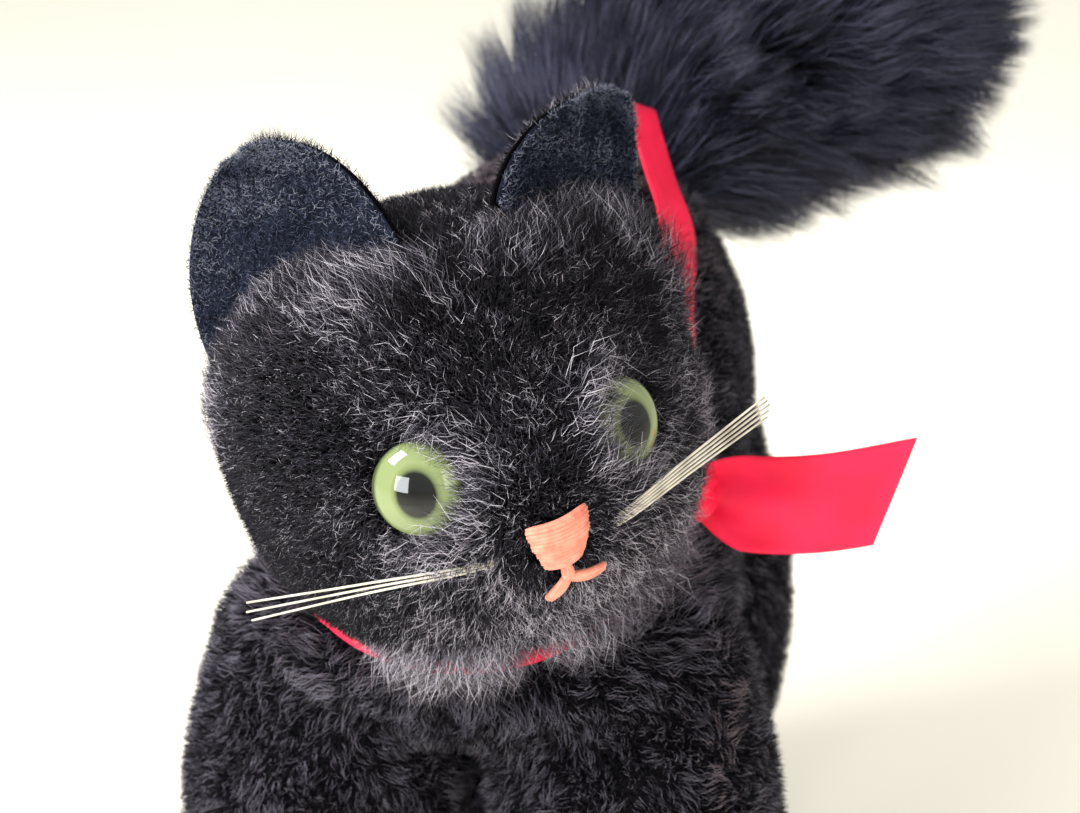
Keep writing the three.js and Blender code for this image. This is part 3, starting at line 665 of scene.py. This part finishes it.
def head_skin():
    """The head's cloth, drawn a little inside its place, because the pile stands out from it."""
    around, down = 150, 100
    points, faces = ellipsoid((1, 1, 1), (0, 0, 0), around, down)
    ways = unit(points)
    radius = head_radius(ways)
    for side in (1, -1):
        apart = np.arccos(np.clip(ways @ eye_way(side), -1, 1)) * HEAD_RADIUS
        socket = np.clip((EYE_RADIUS + 1.2 - apart) / 1.2, 0, 1)
        radius = radius * (1 - socket) + np.minimum(radius, EYE_BACK - 0.2 + PILE_SINK) * socket
    points = ways * (radius - PILE_SINK)[:, None]
    height = points @ NECK_AXIS
    under = height < -(NECK_DROP - 0.2)
    points[under] += NECK_AXIS * (-(NECK_DROP - 0.2) - height[under])[:, None]
    return points, faces


def head_cover(centres):
    """Bald at the glass, under the stitched nose and mouth, and on the flat of the neck."""
    cover = np.ones(len(centres))
    ways = unit(centres)
    for side in (1, -1):
        apart = np.arccos(np.clip(ways @ eye_way(side), -1, 1)) * HEAD_RADIUS
        cover[apart < EYE_RADIUS + 0.1] = 0
    front = centres[:, 1] < -20
    on_nose = (np.abs(centres[:, 0]) < 2.7) & (centres[:, 2] > -3.2) & (centres[:, 2] < 1.5)
    on_lip = (np.abs(centres[:, 0] - 0.4) < 0.9) & (centres[:, 2] < -3) & (centres[:, 2] > -5.8)
    cover[front & (on_nose | on_lip)] = 0
    cover[centres @ NECK_AXIS < -15.6] = 0
    return cover * np.where(centres[:, 1] < 0, 1.3, 1.0)


def brushed_up(word, side, roots, ways, lengths):
    """The pile at the foot of an ear is longer and brushed up over the ear's front."""
    middle, chord, half, rise, facing = ear_axes(word)
    apart = roots * np.array((side, 1, 1)) - middle
    across, ahead = apart @ chord / half, apart @ facing
    near = np.clip((apart @ rise + 11) / 4, 0, 1)
    in_front = np.clip(1.3 - np.abs(ahead - 3.2) / 3.4, 0, 1)
    weight = near * in_front * np.clip((1.4 - np.abs(across)) / 0.25, 0, 1)
    crown = weight * np.clip(-across - 0.45, 0, 0.6) * (word == "right")
    way = (rise + 0.12 * facing) * np.array((side, 1, 1))
    ways = unit(ways * (1 - 0.5 * weight[:, None]) + (0.8 + crown[:, None]) * weight[:, None] * way)
    return ways, lengths * (1 + weight * (1.1 + 0.3 * np.clip(across, -1, 1)) + 1.9 * crown)


def head_pile():
    points, faces = head_skin()
    skin = add_piece("head_skin", from_head(points), faces, [SKIN], "head")
    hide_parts("head_panel_left", "head_panel_right", "head_gusset")
    _, normals, triangles = arrays_of(skin.data)
    normals = normals @ TURN
    rng = np.random.default_rng(21)
    nose = np.array((0, -MUZZLE_RADIUS, -1.0))
    count = int(HEAD_UNDERCOAT * DENSITY)
    roots, out = scatter(points, normals, triangles, count, rng, head_cover)
    undercoat("head_undercoat", roots, out, rng.uniform(1.3, 2.2, count), "head", rng, from_head)
    count = int(HEAD_HAIRS * DENSITY)
    roots, out = scatter(points, normals, triangles, count, rng, head_cover)
    spread = flat_on(roots - nose, out)
    from_nose = np.linalg.norm(roots - nose, axis=1)
    combed = np.clip(0.85 - from_nose / 36, 0.12, 0.5)[:, None]
    loose = unit(rng.normal(size=(count, 3)))
    swirl = flat_on(drift(roots, 8, 3, 13, 23), out)
    ways = unit(0.8 * out + combed * spread + 0.35 * swirl + 0.75 * loose)
    short = np.clip(from_nose / 7, 0.72, 1)
    lengths = rng.uniform(2.0, 3.7, count) * short * (1 + 0.1 * ripple(roots, 5, 6))
    lengths = lengths * (1 + 0.3 * np.clip((roots[:, 0] - 12) / 8, 0, 1))
    lengths = lengths * (1 - 0.2 * np.clip((roots @ NECK_AXIS - 4) / 8, 0, 1))
    lengths = lengths * (1 - 0.38 * np.clip((-roots[:, 0] - 12) / 8, 0, 1))
    for side in (1, -1):
        from_eye = roots - eye_way(side) * HEAD_RADIUS
        gap = np.linalg.norm(from_eye, axis=1)
        inner = np.clip(-side * from_eye[:, 0] / 4 + 0.45, 0, 1) * np.clip((9.5 - gap) / 3, 0, 1)
        lean = -unit(from_eye) * 0.5 + out * 0.7
        ways = unit(ways + inner[:, None] * lean)
        lengths = lengths * (1 + (1.35 + 0.3 * side) * inner)
    chin = np.clip((-9 - roots @ NECK_AXIS) / 4, 0, 1) * np.clip(-roots[:, 1] / 12, 0, 1)
    parted = np.exp(-(((roots[:, 0] + 20) / 4) ** 2)) + np.exp(-(((roots[:, 0] + 1.5) / 2.5) ** 2))
    chin = chin * (1 - 0.8 * np.clip(parted, 0, 1))
    ways = unit(ways + 0.8 * chin[:, None] * (0.9 * out - 0.6 * NECK_AXIS))
    lengths = lengths * (1 + 1.6 * chin)
    for word, side in SIDES:
        ways, lengths = brushed_up(word, side, roots, ways, lengths)
    lines = strand_lines(roots - 0.3 * out, ways, -0.12 * out + 0.08 * spread, lengths, 0.17, 2, rng)
    lines = gathered(lines, 0.2, 0.2, rng)
    picks = shades(roots, (0.33, 0.28, 0.24, 0.15), 3, 7, rng)
    # Painted light: up to half of the black and dark hairs on the lower head turn grey, standing for light
    # reaching under the chin.
    painted_light_below = np.clip((-roots @ NECK_AXIS + 1) / 13, 0, 1) * 0.5
    picks = np.where((rng.random(count) < painted_light_below) & (picks < GREY), GREY, picks)
    crown = np.clip((roots @ NECK_AXIS - 7) / 10, 0, 0.6)
    picks = np.where((rng.random(count) < crown) & (picks > BLACK), picks - 1, picks)
    muzzle = np.clip((24 - from_nose) / 12, 0, 0.75)
    cheek = np.clip((-roots[:, 0] - 5) / 12, 0, 0.45)
    brighter = rng.random(count) < np.maximum(muzzle, cheek)
    picks = np.where(brighter & (picks < LIGHT), picks + 1, picks)
    radius = rng.uniform(0.045, 0.075, count) * np.where(picks == LIGHT, 1.15, 1)
    grow("head_pile", from_head(lines), radius, picks, PILE, "head")


# ---------- Ears ----------
EARS = {
    "left": ((6.1, -5.9, 26.4), (23.9, 1.2, 14.1), 18, -0.57, -7.2, 1.3),
    "right": ((3.7, -8.9, 26), (24.2, 4.9, 12.8), 18.2, -0.72, 1.4, 2.1),
}
EAR_CUP, EAR_FOOT, FELT, GAP = 1.2, 4, 0.7, 0.2


def ear_axes(word):
    """The middle of an ear's sewn line, that line's direction and half length, the ear's rise and face."""
    inner, outer, _, lean = (np.array(value, float) for value in EARS[word][:4])
    middle, chord = (inner + outer) / 2, outer - inner
    half = np.linalg.norm(chord) / 2
    chord = unit(chord)
    upright = unit(middle - chord * (middle @ chord))
    rise = np.array(Matrix.Rotation(float(lean), 3, Vector(chord)) @ Vector(upright))
    return middle, chord, half, rise, unit(np.cross(chord, rise))


def ear_point(word, side, across, along, depth):
    """A place on an ear: across -1 to 1 from the crown outwards, along 0 to 1 from foot to tip."""
    middle, chord, half, rise, facing = ear_axes(word)
    height, drift, rounding = EARS[word][2], EARS[word][4], EARS[word][5]
    above = -EAR_FOOT + (height + EAR_FOOT) * np.sin(along * math.pi / 2)
    share = np.maximum(above / height, 0)
    breadth = half * np.sqrt(1 - (0.995 * share) ** rounding)
    spot = middle + np.multiply.outer(across * breadth - drift * share**2, chord)
    spot = spot + np.multiply.outer(above, rise)
    spot = spot + np.multiply.outer(EAR_CUP * across**2 - share + depth, facing)
    return spot * np.array((side, 1, 1))


def ear_sheet(word, side, low, high):
    """A closed rounded sheet between two depths, with a soft rolled edge."""
    rows, columns = 30, 41
    along, across = np.meshgrid(np.linspace(0.12, 1, rows), np.linspace(-1, 1, columns), indexing="ij")
    middle, half = (low + high) / 2, (high - low) / 2
    edge = np.sqrt(np.clip(1 - np.maximum(np.abs(across), along) ** 10, 0.03, 1))
    front = ear_point(word, side, across, along, middle + half * edge).reshape(-1, 3)
    back = ear_point(word, side, across, along, middle - half * edge).reshape(-1, 3)
    return np.vstack([front, back]), sheet_faces(rows, columns)


def on_ear(word, side, count, rng, front):
    """Random roots on one face of an ear, clear of the head, with that face's outward direction."""
    across, along = rng.uniform(-1, 1, count), rng.uniform(0.1, 1, count)
    depth = FELT + GAP if front else -FELT - GAP / 2
    here = ear_point(word, side, across, along, depth)
    ahead = ear_point(word, side, across, along, depth + (1 if front else -1))
    return here, unit(ahead - here), across, along


def ears():
    for word, side in SIDES:
        velvet_points, faces = ear_sheet(word, side, GAP, FELT + GAP)
        places = from_head(velvet_points)
        front = add_piece(f"ear_front_{word}", places, faces, [VELVET], "head")
        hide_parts(f"ear_velvet_{word}")
        back_points, faces = ear_sheet(word, side, -FELT - GAP / 2, -GAP / 2)
        back = add_piece(f"ear_rear_{word}", from_head(back_points), faces, [SKIN], "head")
        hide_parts(f"ear_back_{word}")
        ear_fuzz(word, side)


def ear_fuzz(word, side):
    rng = np.random.default_rng(31 + side)
    count = int(EAR_FUZZ_HAIRS * DENSITY)
    roots, out, across, along = on_ear(word, side, count, rng, True)
    loose = unit(rng.normal(size=(count, 3)))
    ways = unit(0.7 * out + 0.8 * loose + np.array((0, 0, 0.3)))
    lengths = rng.uniform(0.5, 1.1, count)
    lines = strand_lines(roots, ways, -0.1 * out, lengths, 0.1, 2, rng)
    edge = np.maximum(np.abs(across), along)
    picks = shades(roots, (0.48, 0.43, 0.09), 3, 8, rng)
    picks = np.where((edge > 0.93) & (rng.random(count) < 0.35), RIM, picks)
    grow(f"ear_fuzz_{word}", from_head(lines), np.full(count, 0.045), picks, FUZZ, "head")
    count = int(EAR_BACK_HAIRS * DENSITY)
    roots, out, across, along = on_ear(word, side, count, rng, False)
    loose = unit(rng.normal(size=(count, 3)))
    ways = unit(0.6 * out + 0.6 * loose + np.array((0, 0, 0.6)))
    lengths = rng.uniform(1.5, 2.6, count) * np.where(np.maximum(np.abs(across), along) > 0.9, 0.5, 1)
    lines = strand_lines(roots, ways, -0.15 * out, lengths, 0.07, 2, rng)
    picks = shades(roots, (0.45, 0.38, 0.15, 0.02), 4, 9, rng)
    grow(f"ear_pile_{word}", from_head(lines), np.full(count, 0.06), picks, PILE, "head")


# ---------- Eyes ----------
def eye_material():
    """Painted glass: a yellow-green iris round a dark pupil, under a hard shine."""
    material, tree, shader = principled("eye_glass", (0.4, 0.5, 0.1), 0.05)
    shader.inputs["Coat Weight"].default_value = 0.1
    shader.inputs["Coat Roughness"].default_value = 0.01
    shader.inputs["Specular IOR Level"].default_value = 0.3
    shader.inputs["IOR"].default_value = 1.5
    place = add_node(tree, "ShaderNodeAttribute", attribute_name="from_pupil")
    iris = [
        (0.0, (0.002, 0.002, 0.003)),
        (0.42, (0.004, 0.005, 0.004)),
        (0.5, (0.10, 0.125, 0.05)),
        (0.6, (0.15, 0.185, 0.078)),
        (0.92, (0.14, 0.175, 0.072)),
        (1.0, (0.05, 0.062, 0.025)),
    ]
    color = ramp(tree, place.outputs["Fac"], iris)
    tree.links.new(color, shader.inputs["Base Color"])
    return material


def eyes():
    material = eye_material()
    rows, around = 26, 64
    for word, side in SIDES:
        way = eye_way(side)
        level = unit(np.cross((0, 0, 1.0), way))
        up = np.cross(way, level)
        angle = np.linspace(0, 2 * math.pi, around, endpoint=False)
        tilt = np.linspace(math.pi / 2, 0.03, rows)
        radius = np.concatenate([[EYE_RADIUS - 0.4, EYE_RADIUS], EYE_RADIUS * np.sin(tilt)])
        height = np.concatenate([[0, 0.5], EYE_RIM + (EYE_DOME - EYE_RIM) * np.cos(tilt)])
        ring = np.cos(angle)[:, None] * level + np.sin(angle)[:, None] * up
        rings = ring[None] * radius[:, None, None] + way * (EYE_BACK + height)[:, None, None]
        points, faces = tube(rings)
        obj = add_piece(f"glass_eye_{word}", from_head(points), faces, [material], "head")
        flat = points - (points @ way)[:, None] * way
        wide, tall = flat @ level / EYE_RADIUS, flat @ up / EYE_RADIUS
        mark = obj.data.attributes.new("from_pupil", "FLOAT", "POINT")
        mark.data.foreach_set("value", np.hypot(wide * 1.1, tall * 0.92).astype(np.float32))
        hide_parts(f"eye_{word}")


# ---------- Whiskers ----------
WHISKERS = {
    "left": ((7.1, -28.3, -2.6), (28, -23.5, 2), 5, 0.6),
    "right": ((-7.1, -28.3, -2.6), (-30.5, -15.5, -6), 3, 1.1),
}
WHISKER_RADIUS, WHISKER_SPACING = 0.155, 0.3


def whiskers():
    """Each bundle is bound at its root and fans out a little; every bristle tapers at its tip."""
    rise = np.array((0, 0, 1.0))
    bristle = mottled("bristle", (0.30, 0.27, 0.22), (0.50, 0.46, 0.38), 0.4, 350, 2500)
    for word, (root, tip, count, fan) in WHISKERS.items():
        start, end = np.array(root), np.array(tip, float)
        run = end - start
        for number in range(count):
            step = number - (count - 1) / 2
            knots = [
                0.9 * start - 0.1 * run + rise * step * WHISKER_SPACING,
                start + rise * step * WHISKER_SPACING,
                start + 0.5 * run + rise * step * (WHISKER_SPACING + fan / 4),
                end + rise * step * fan - 0.012 * abs(step) * run,
            ]
            line = through(knots, np.linspace(0, 1, 30))
            points, faces = rod(line, WHISKER_RADIUS, 8, np.linspace(1.1, 0.75, 30))
            name = f"{word}_{number + 1}"
            obj = add_piece(f"bristle_{name}", from_head(points), faces, [bristle], "head")
            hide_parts(f"whisker_{name}")


# ---------- Nose and mouth ----------
def on_muzzle(sideways, upwards, lift):
    curve = (sideways**2 + upwards**2) / (2 * MUZZLE_CURVE)
    return np.stack([sideways, curve - MUZZLE_RADIUS - lift, upwards], -1)


def floss_material():
    material, tree, shader = principled("floss", (0.80, 0.24, 0.12), 0.5)
    shader.inputs["Sheen Weight"].default_value = 0.15
    stops = [(0.3, (0.46, 0.10, 0.058)), (0.7, (0.66, 0.205, 0.13))]
    color = ramp(tree, noise_at(tree, 900).outputs["Fac"], stops)
    tree.links.new(color, shader.inputs["Base Color"])
    bump(tree, shader, noise_at(tree, 5000).outputs["Fac"], 0.4, 0.0001)
    return material


def nose_and_mouth():
    floss = floss_material()
    rng = np.random.default_rng(41)
    threads = []
    count = 15
    for number in range(count):
        share = number / (count - 1)
        half = 2.0 + 1.3 * math.sin(share * math.pi / 2) + rng.uniform(-0.1, 0.1)
        across = np.linspace(-half, half, 12)
        height = -3.3 + 4.9 * share + 0.10 * across + rng.uniform(-0.05, 0.05)
        rise = 1.35 * (1 - 0.55 * (across / half) ** 2 - 0.3 * (2 * share - 1) ** 2)
        line = on_muzzle(across, height, 0.35 + rise)
        taper = np.sqrt(np.clip(1 - (across / half) ** 8, 0.25, 1))
        threads.append(rod(line, 0.36, 8, taper))
    points, faces = merged(threads)
    nose = add_piece("nose_floss", from_head(points), faces, [floss], "head")
    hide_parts("nose_stitch")
    stitches = [
        [(0, -3.7), (0.1, -4.6), (0.2, -5.6)],
        [(0.2, -5.4), (2.2, -5.9), (4.4, -6.3)],
        [(0.2, -5.4), (-0.9, -6.6), (-1.8, -8)],
    ]
    threads = []
    for stitch in stitches:
        for shift in (-0.33, 0.05, 0.38):
            line = through([(x, z, 0) for x, z in stitch], np.linspace(0, 1, 10))
            across = unit(np.array((line[-1][1] - line[0][1], line[0][0] - line[-1][0])))
            bow = np.sin(np.linspace(0, math.pi, 10))
            sideways = line[:, 0] + across[0] * shift * (0.6 + 0.4 * bow)
            upwards = line[:, 1] + across[1] * shift * (0.6 + 0.4 * bow)
            threads.append(rod(on_muzzle(sideways, upwards, 0.9 + 0.45 * bow), 0.36, 8))
    points, faces = merged(threads)
    mouth = add_piece("mouth_floss", from_head(points), faces, [floss], "head")
    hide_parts("mouth_stitch")


# ---------- Ribbon ----------
RIBBON_WIDTH, KNOT = 12, np.array((25, -25.8, 104.9))


def satin_material():
    """Woven red satin: fine ribs across it, and a pink sheen where it turns."""
    material, tree, shader = principled("satin", (0.75, 0.008, 0.03), 0.5)
    shader.inputs["Sheen Weight"].default_value = 0.05
    shader.inputs["Sheen Tint"].default_value = (1, 0.2, 0.4, 1)
    shader.inputs["Specular IOR Level"].default_value = 0.25
    stops = [(0.3, (0.60, 0.004, 0.030)), (0.7, (0.78, 0.009, 0.058))]
    color = ramp(tree, noise_at(tree, 150).outputs["Fac"], stops)
    tree.links.new(color, shader.inputs["Base Color"])
    ribs = add_node(tree, "ShaderNodeTexWave", Scale=3300, Distortion=1.5, Detail=2.0, bands_direction="Z")
    place = add_node(tree, "ShaderNodeTexCoord")
    tree.links.new(place.outputs["Object"], ribs.inputs["Vector"])
    bump(tree, shader, ribs.outputs["Fac"], 0.25, 0.00006)
    return material


def ribbon_end(points, widthways, slant, folds):
    """A free end: its middle line, the direction of its width, the slant of its cut and its folds."""
    rows, columns, thick = 56, 25, 0.32
    along, across = np.meshgrid(np.linspace(0, 1, rows), np.linspace(-1, 1, columns), indexing="ij")
    t = (along * (1 + slant * across / 2 - abs(slant) / 2)).ravel()
    line = through(points, t)
    way = unit(through(widthways, t))
    ahead = unit(through(points, np.minimum(t + 0.01, 1)) - through(points, np.minimum(t, 0.99)))
    facing = unit(np.cross(ahead, way))
    spread = np.clip((along.ravel() + 0.25) / 0.6, 0, 1)
    spread = spread * spread * (3 - 2 * spread)
    flat = across.ravel()
    wave = folds * (1 - along.ravel()) ** 1.5 * np.cos(flat * 5.5) + 0.25 * np.sin(along.ravel() * 7 + flat)
    middle = line + way * (flat * RIBBON_WIDTH / 2 * spread)[:, None]
    middle = middle + facing * wave[:, None]
    front, back = middle + facing * thick / 2, middle - facing * thick / 2
    return np.vstack([front, back]), sheet_faces(rows, columns)


def neck_band():
    """The ribbon folded lengthwise round the neck, a little creased."""
    around = 160
    outer = [(0, 0.2), (0.5, 0.6), (0.75, 1.5), (0.75, 2.8), (0.5, 4.0)]
    outline = np.array(outer + [(0.15, 4.0), (0.05, 2.2), (0.0, 1.0)])
    angle = np.linspace(0, 2 * math.pi, around, endpoint=False)
    side = unit(np.cross(NECK_AXIS, (0, 1.0, 0)))
    other = np.cross(NECK_AXIS, side)
    crease = 0.16 * np.sin(angle * 9) + 0.1 * np.sin(angle * 23 + 1)
    ring = np.cos(angle)[:, None] * side + np.sin(angle)[:, None] * other
    low = HEAD_CENTRE - 18.6 * NECK_AXIS
    creased = crease[:, None] * (outline[:, 0] > 0.5)
    rings = low + ring[:, None] * (BAND_RADIUS - 0.5 + outline[:, 0] + creased)[..., None]
    rings = rings + NECK_AXIS * (outline[:, 1] + 0 * angle[:, None])[..., None]
    faces = [tuple(quad) for quad in closed_grid(around, len(outline))]
    return rings.reshape(-1, 3), faces


def closed_grid(rows, columns):
    """Quads of a grid joined to itself both ways."""
    i, j = np.meshgrid(np.arange(rows), np.arange(columns), indexing="ij")
    i2, j2 = (i + 1) % rows, (j + 1) % columns
    quads = np.stack([i * columns + j, i2 * columns + j, i2 * columns + j2, i * columns + j2], -1)
    return quads.reshape(-1, 4)


def knot_form():
    points, faces = ellipsoid((3.8, 4.6, 4.0), (0, 0, 0), 48, 32)
    angle = np.arctan2(points[:, 2], points[:, 1])
    pleat = 1 + 0.07 * np.sin(angle * 5 + points[:, 0] * 0.9) + 0.03 * np.sin(angle * 11)
    turn = np.array(Matrix.Rotation(math.radians(20), 3, "Z"))
    return (points * pleat[:, None]) @ turn.T + KNOT, faces


def ribbon():
    level = (-0.1, 0.4, 0.91)
    side_line = [KNOT, (33, -26.5, 104), (42, -27.5, 105.5), (53, -26, 108)]
    side_end = ribbon_end(side_line, [level, (-0.12, 0.35, 0.93), level, level], 0.16, 0.9)
    over = (0.3, 0.82, -0.38)
    upper_line = [KNOT, (23, -14, 112), (20.5, 0, 119), (18.5, 15, 125.5), (15, 21, 132), (11, 27, 141)]
    upper_ways = [(0.1, 0.75, -0.6), (0.25, 0.83, -0.42), over, over, over, over]
    upper_end = ribbon_end(upper_line, upper_ways, 0.02, 0.7)
    points, faces = merged([neck_band(), knot_form(), side_end, upper_end])
    obj = add_piece("satin_ribbon", points, faces, [satin_material()], "body")
    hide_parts("neck_ribbon")


# ---------- Tail ----------
TAIL_LINE = [TAIL_ROOT, (1, 62, 121), (9, 68, 130), (24, 72, 138), (41, 74.5, 144.5), (57, 75.5, 149)]
TAIL_REACH = [28, 30, 30, 30, 28, 20]
TAIL_CORE = [6, 10, 13, 14, 13, 8]


def tail():
    stations = [(centre, size, size) for centre, size in zip(TAIL_LINE, TAIL_CORE)]
    points, faces = loft(stations, 24, 40)
    skin = add_piece("tail_skin", points, faces, [SKIN], "tail")
    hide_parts("tail_cover")
    rng = np.random.default_rng(51)
    count = int(TAIL_HAIRS * DENSITY)
    t = rng.uniform(0.0, 1.0, count)
    centre = through(TAIL_LINE, t)
    along = unit(through(TAIL_LINE, np.minimum(t + 0.01, 1)) - through(TAIL_LINE, np.minimum(t, 0.99)))
    around = unit(np.cross(along, rng.normal(size=(count, 3))))
    reach, core = (through([(size, 0, 0) for size in sizes], t)[:, 0] for sizes in (TAIL_REACH, TAIL_CORE))
    tip = np.clip((t - 0.86) / 0.14, 0, 1)
    start = core * rng.uniform(0.9, 1.25, count) * np.sqrt(1 - tip * rng.uniform(0, 1, count))
    roots = centre + around * start[:, None]
    loose = unit(rng.normal(size=(count, 3)))
    sway = drift(roots, 14, 61, 62, 63)
    ways = unit(0.8 * around + (0.62 + 1.2 * tip[:, None]) * along + 0.3 * loose + 0.3 * sway)
    lengths = (reach - 0.8 * start) * rng.uniform(0.75, 1.2, count) * (1 - 0.3 * tip)
    lines = strand_lines(roots, ways, 0.2 * along, lengths, 0.035, 3, rng)
    lines = gathered(lines, 0.022, 0.72, rng)
    picks = shades(roots, (0.32, 0.38, 0.3), 5, 10, rng)
    radius = rng.uniform(0.08, 0.13, count)
    grow("tail_pile", lines, radius, picks, TAIL_PILE, "tail")


# ---------- Carried-over pieces ----------
def carried():
    """The nodes that stay as they are get their own worked materials."""
    steel, wire = ((0.34, 0.34, 0.35), (0.5, 0.5, 0.5)), ((0.3, 0.3, 0.31), (0.44, 0.44, 0.45))
    finishes = {
        "felt": mottled("sole_felt", (0.022, 0.020, 0.027), (0.045, 0.042, 0.05), 0.97, 700, 4000),
        "card": mottled("insole_card", (0.27, 0.17, 0.09), (0.36, 0.24, 0.13), 0.9, 500, 3000),
        "hardboard": mottled("pressed_board", (0.22, 0.11, 0.04), (0.32, 0.17, 0.07), 0.75, 600, 3500),
        "steel": mottled("steel_washer", *steel, 0.32, 900, 5000, Metallic=1.0),
        "steel_wire": mottled("steel_wire", *wire, 0.35, 900, 5000, Metallic=1.0),
        "stuffing": mottled("wood_wool", (0.38, 0.28, 0.16), (0.58, 0.47, 0.3), 0.95, 400, 1500),
    }
    for entry in frame["record"]["subparts"]:
        finish = finishes.get(entry["material_slot"])
        if finish:
            node = frame["nodes"][entry["node"]]
            node.data.materials.clear()
            node.data.materials.append(finish)


# ---------- Studio ----------
def studio():
    floor_points = [(-4000, -4000, 0), (4000, -4000, 0), (4000, 4000, 0), (-4000, 4000, 0)]
    mesh = new_mesh("floor", np.array(floor_points) * MM, [0, 1, 2, 3], [4])
    floor = bpy.data.objects.new("floor", mesh)
    bpy.context.scene.collection.objects.link(floor)
    mesh.materials.append(mottled("floor_paper", (0.90, 0.87, 0.76), (0.93, 0.90, 0.80), 0.9, 3, 40))
    world = bpy.data.worlds.new("studio")
    bpy.context.scene.world = world
    world.use_nodes = True
    world.node_tree.nodes["Background"].inputs["Color"].default_value = (1.0, 0.985, 0.95, 1)
    world.node_tree.nodes["Background"].inputs["Strength"].default_value = 0.95
    area_light("lamp", (-420, -260, 520), 300, 9, (1, 0.99, 0.97))
    area_light("window", (-135, -356, 145), 110, 0.9, (0.93, 0.97, 1))
    area_light("fill", (380, -420, 260), 260, 2, (1, 0.97, 0.93))


def area_light(name, place, size, power, color):
    light = bpy.data.lights.new(name, "AREA")
    light.energy = power
    light.size = size * MM
    light.color = color
    obj = bpy.data.objects.new(name, light)
    bpy.context.scene.collection.objects.link(obj)
    start = Vector((np.array(place) + MIDDLE) * MM)
    target = Vector((HEAD_CENTRE + MIDDLE) * MM)
    obj.location = start
    obj.rotation_euler = (target - start).to_track_quat("-Z", "Y").to_euler()


def camera():
    """A close view from the front, a little to the cat's left, looking down."""
    azimuth, elevation = math.radians(11), math.radians(23.9)
    place = (np.array((41.09, -204.16, 195.11)) + MIDDLE) * MM
    data = bpy.data.cameras.new("camera")
    data.sensor_width = 36
    data.lens = 53.33
    obj = bpy.data.objects.new("camera", data)
    bpy.context.scene.collection.objects.link(obj)
    back = Vector((
        math.sin(azimuth) * math.cos(elevation),
        -math.cos(azimuth) * math.cos(elevation),
        math.sin(elevation),
    ))
    right = Vector((math.cos(azimuth), math.sin(azimuth), 0))
    turn = Matrix((right, back.cross(right), back)).transposed()
    obj.matrix_world = Matrix.Translation(Vector(place)) @ turn.to_4x4()
    focus = bpy.data.objects.new("focus", None)
    focus.location = Vector((from_head([(0, -24, 2)])[0] + MIDDLE) * MM)
    bpy.context.scene.collection.objects.link(focus)
    data.dof.use_dof = True
    data.dof.focus_object = focus
    data.dof.aperture_fstop = 40
    bpy.context.scene.camera = obj
    bpy.context.scene.view_settings.view_transform = "Standard"


body_pile()
head_pile()
ears()
eyes()
whiskers()
nose_and_mouth()
ribbon()
tail()
carried()
studio()
camera()
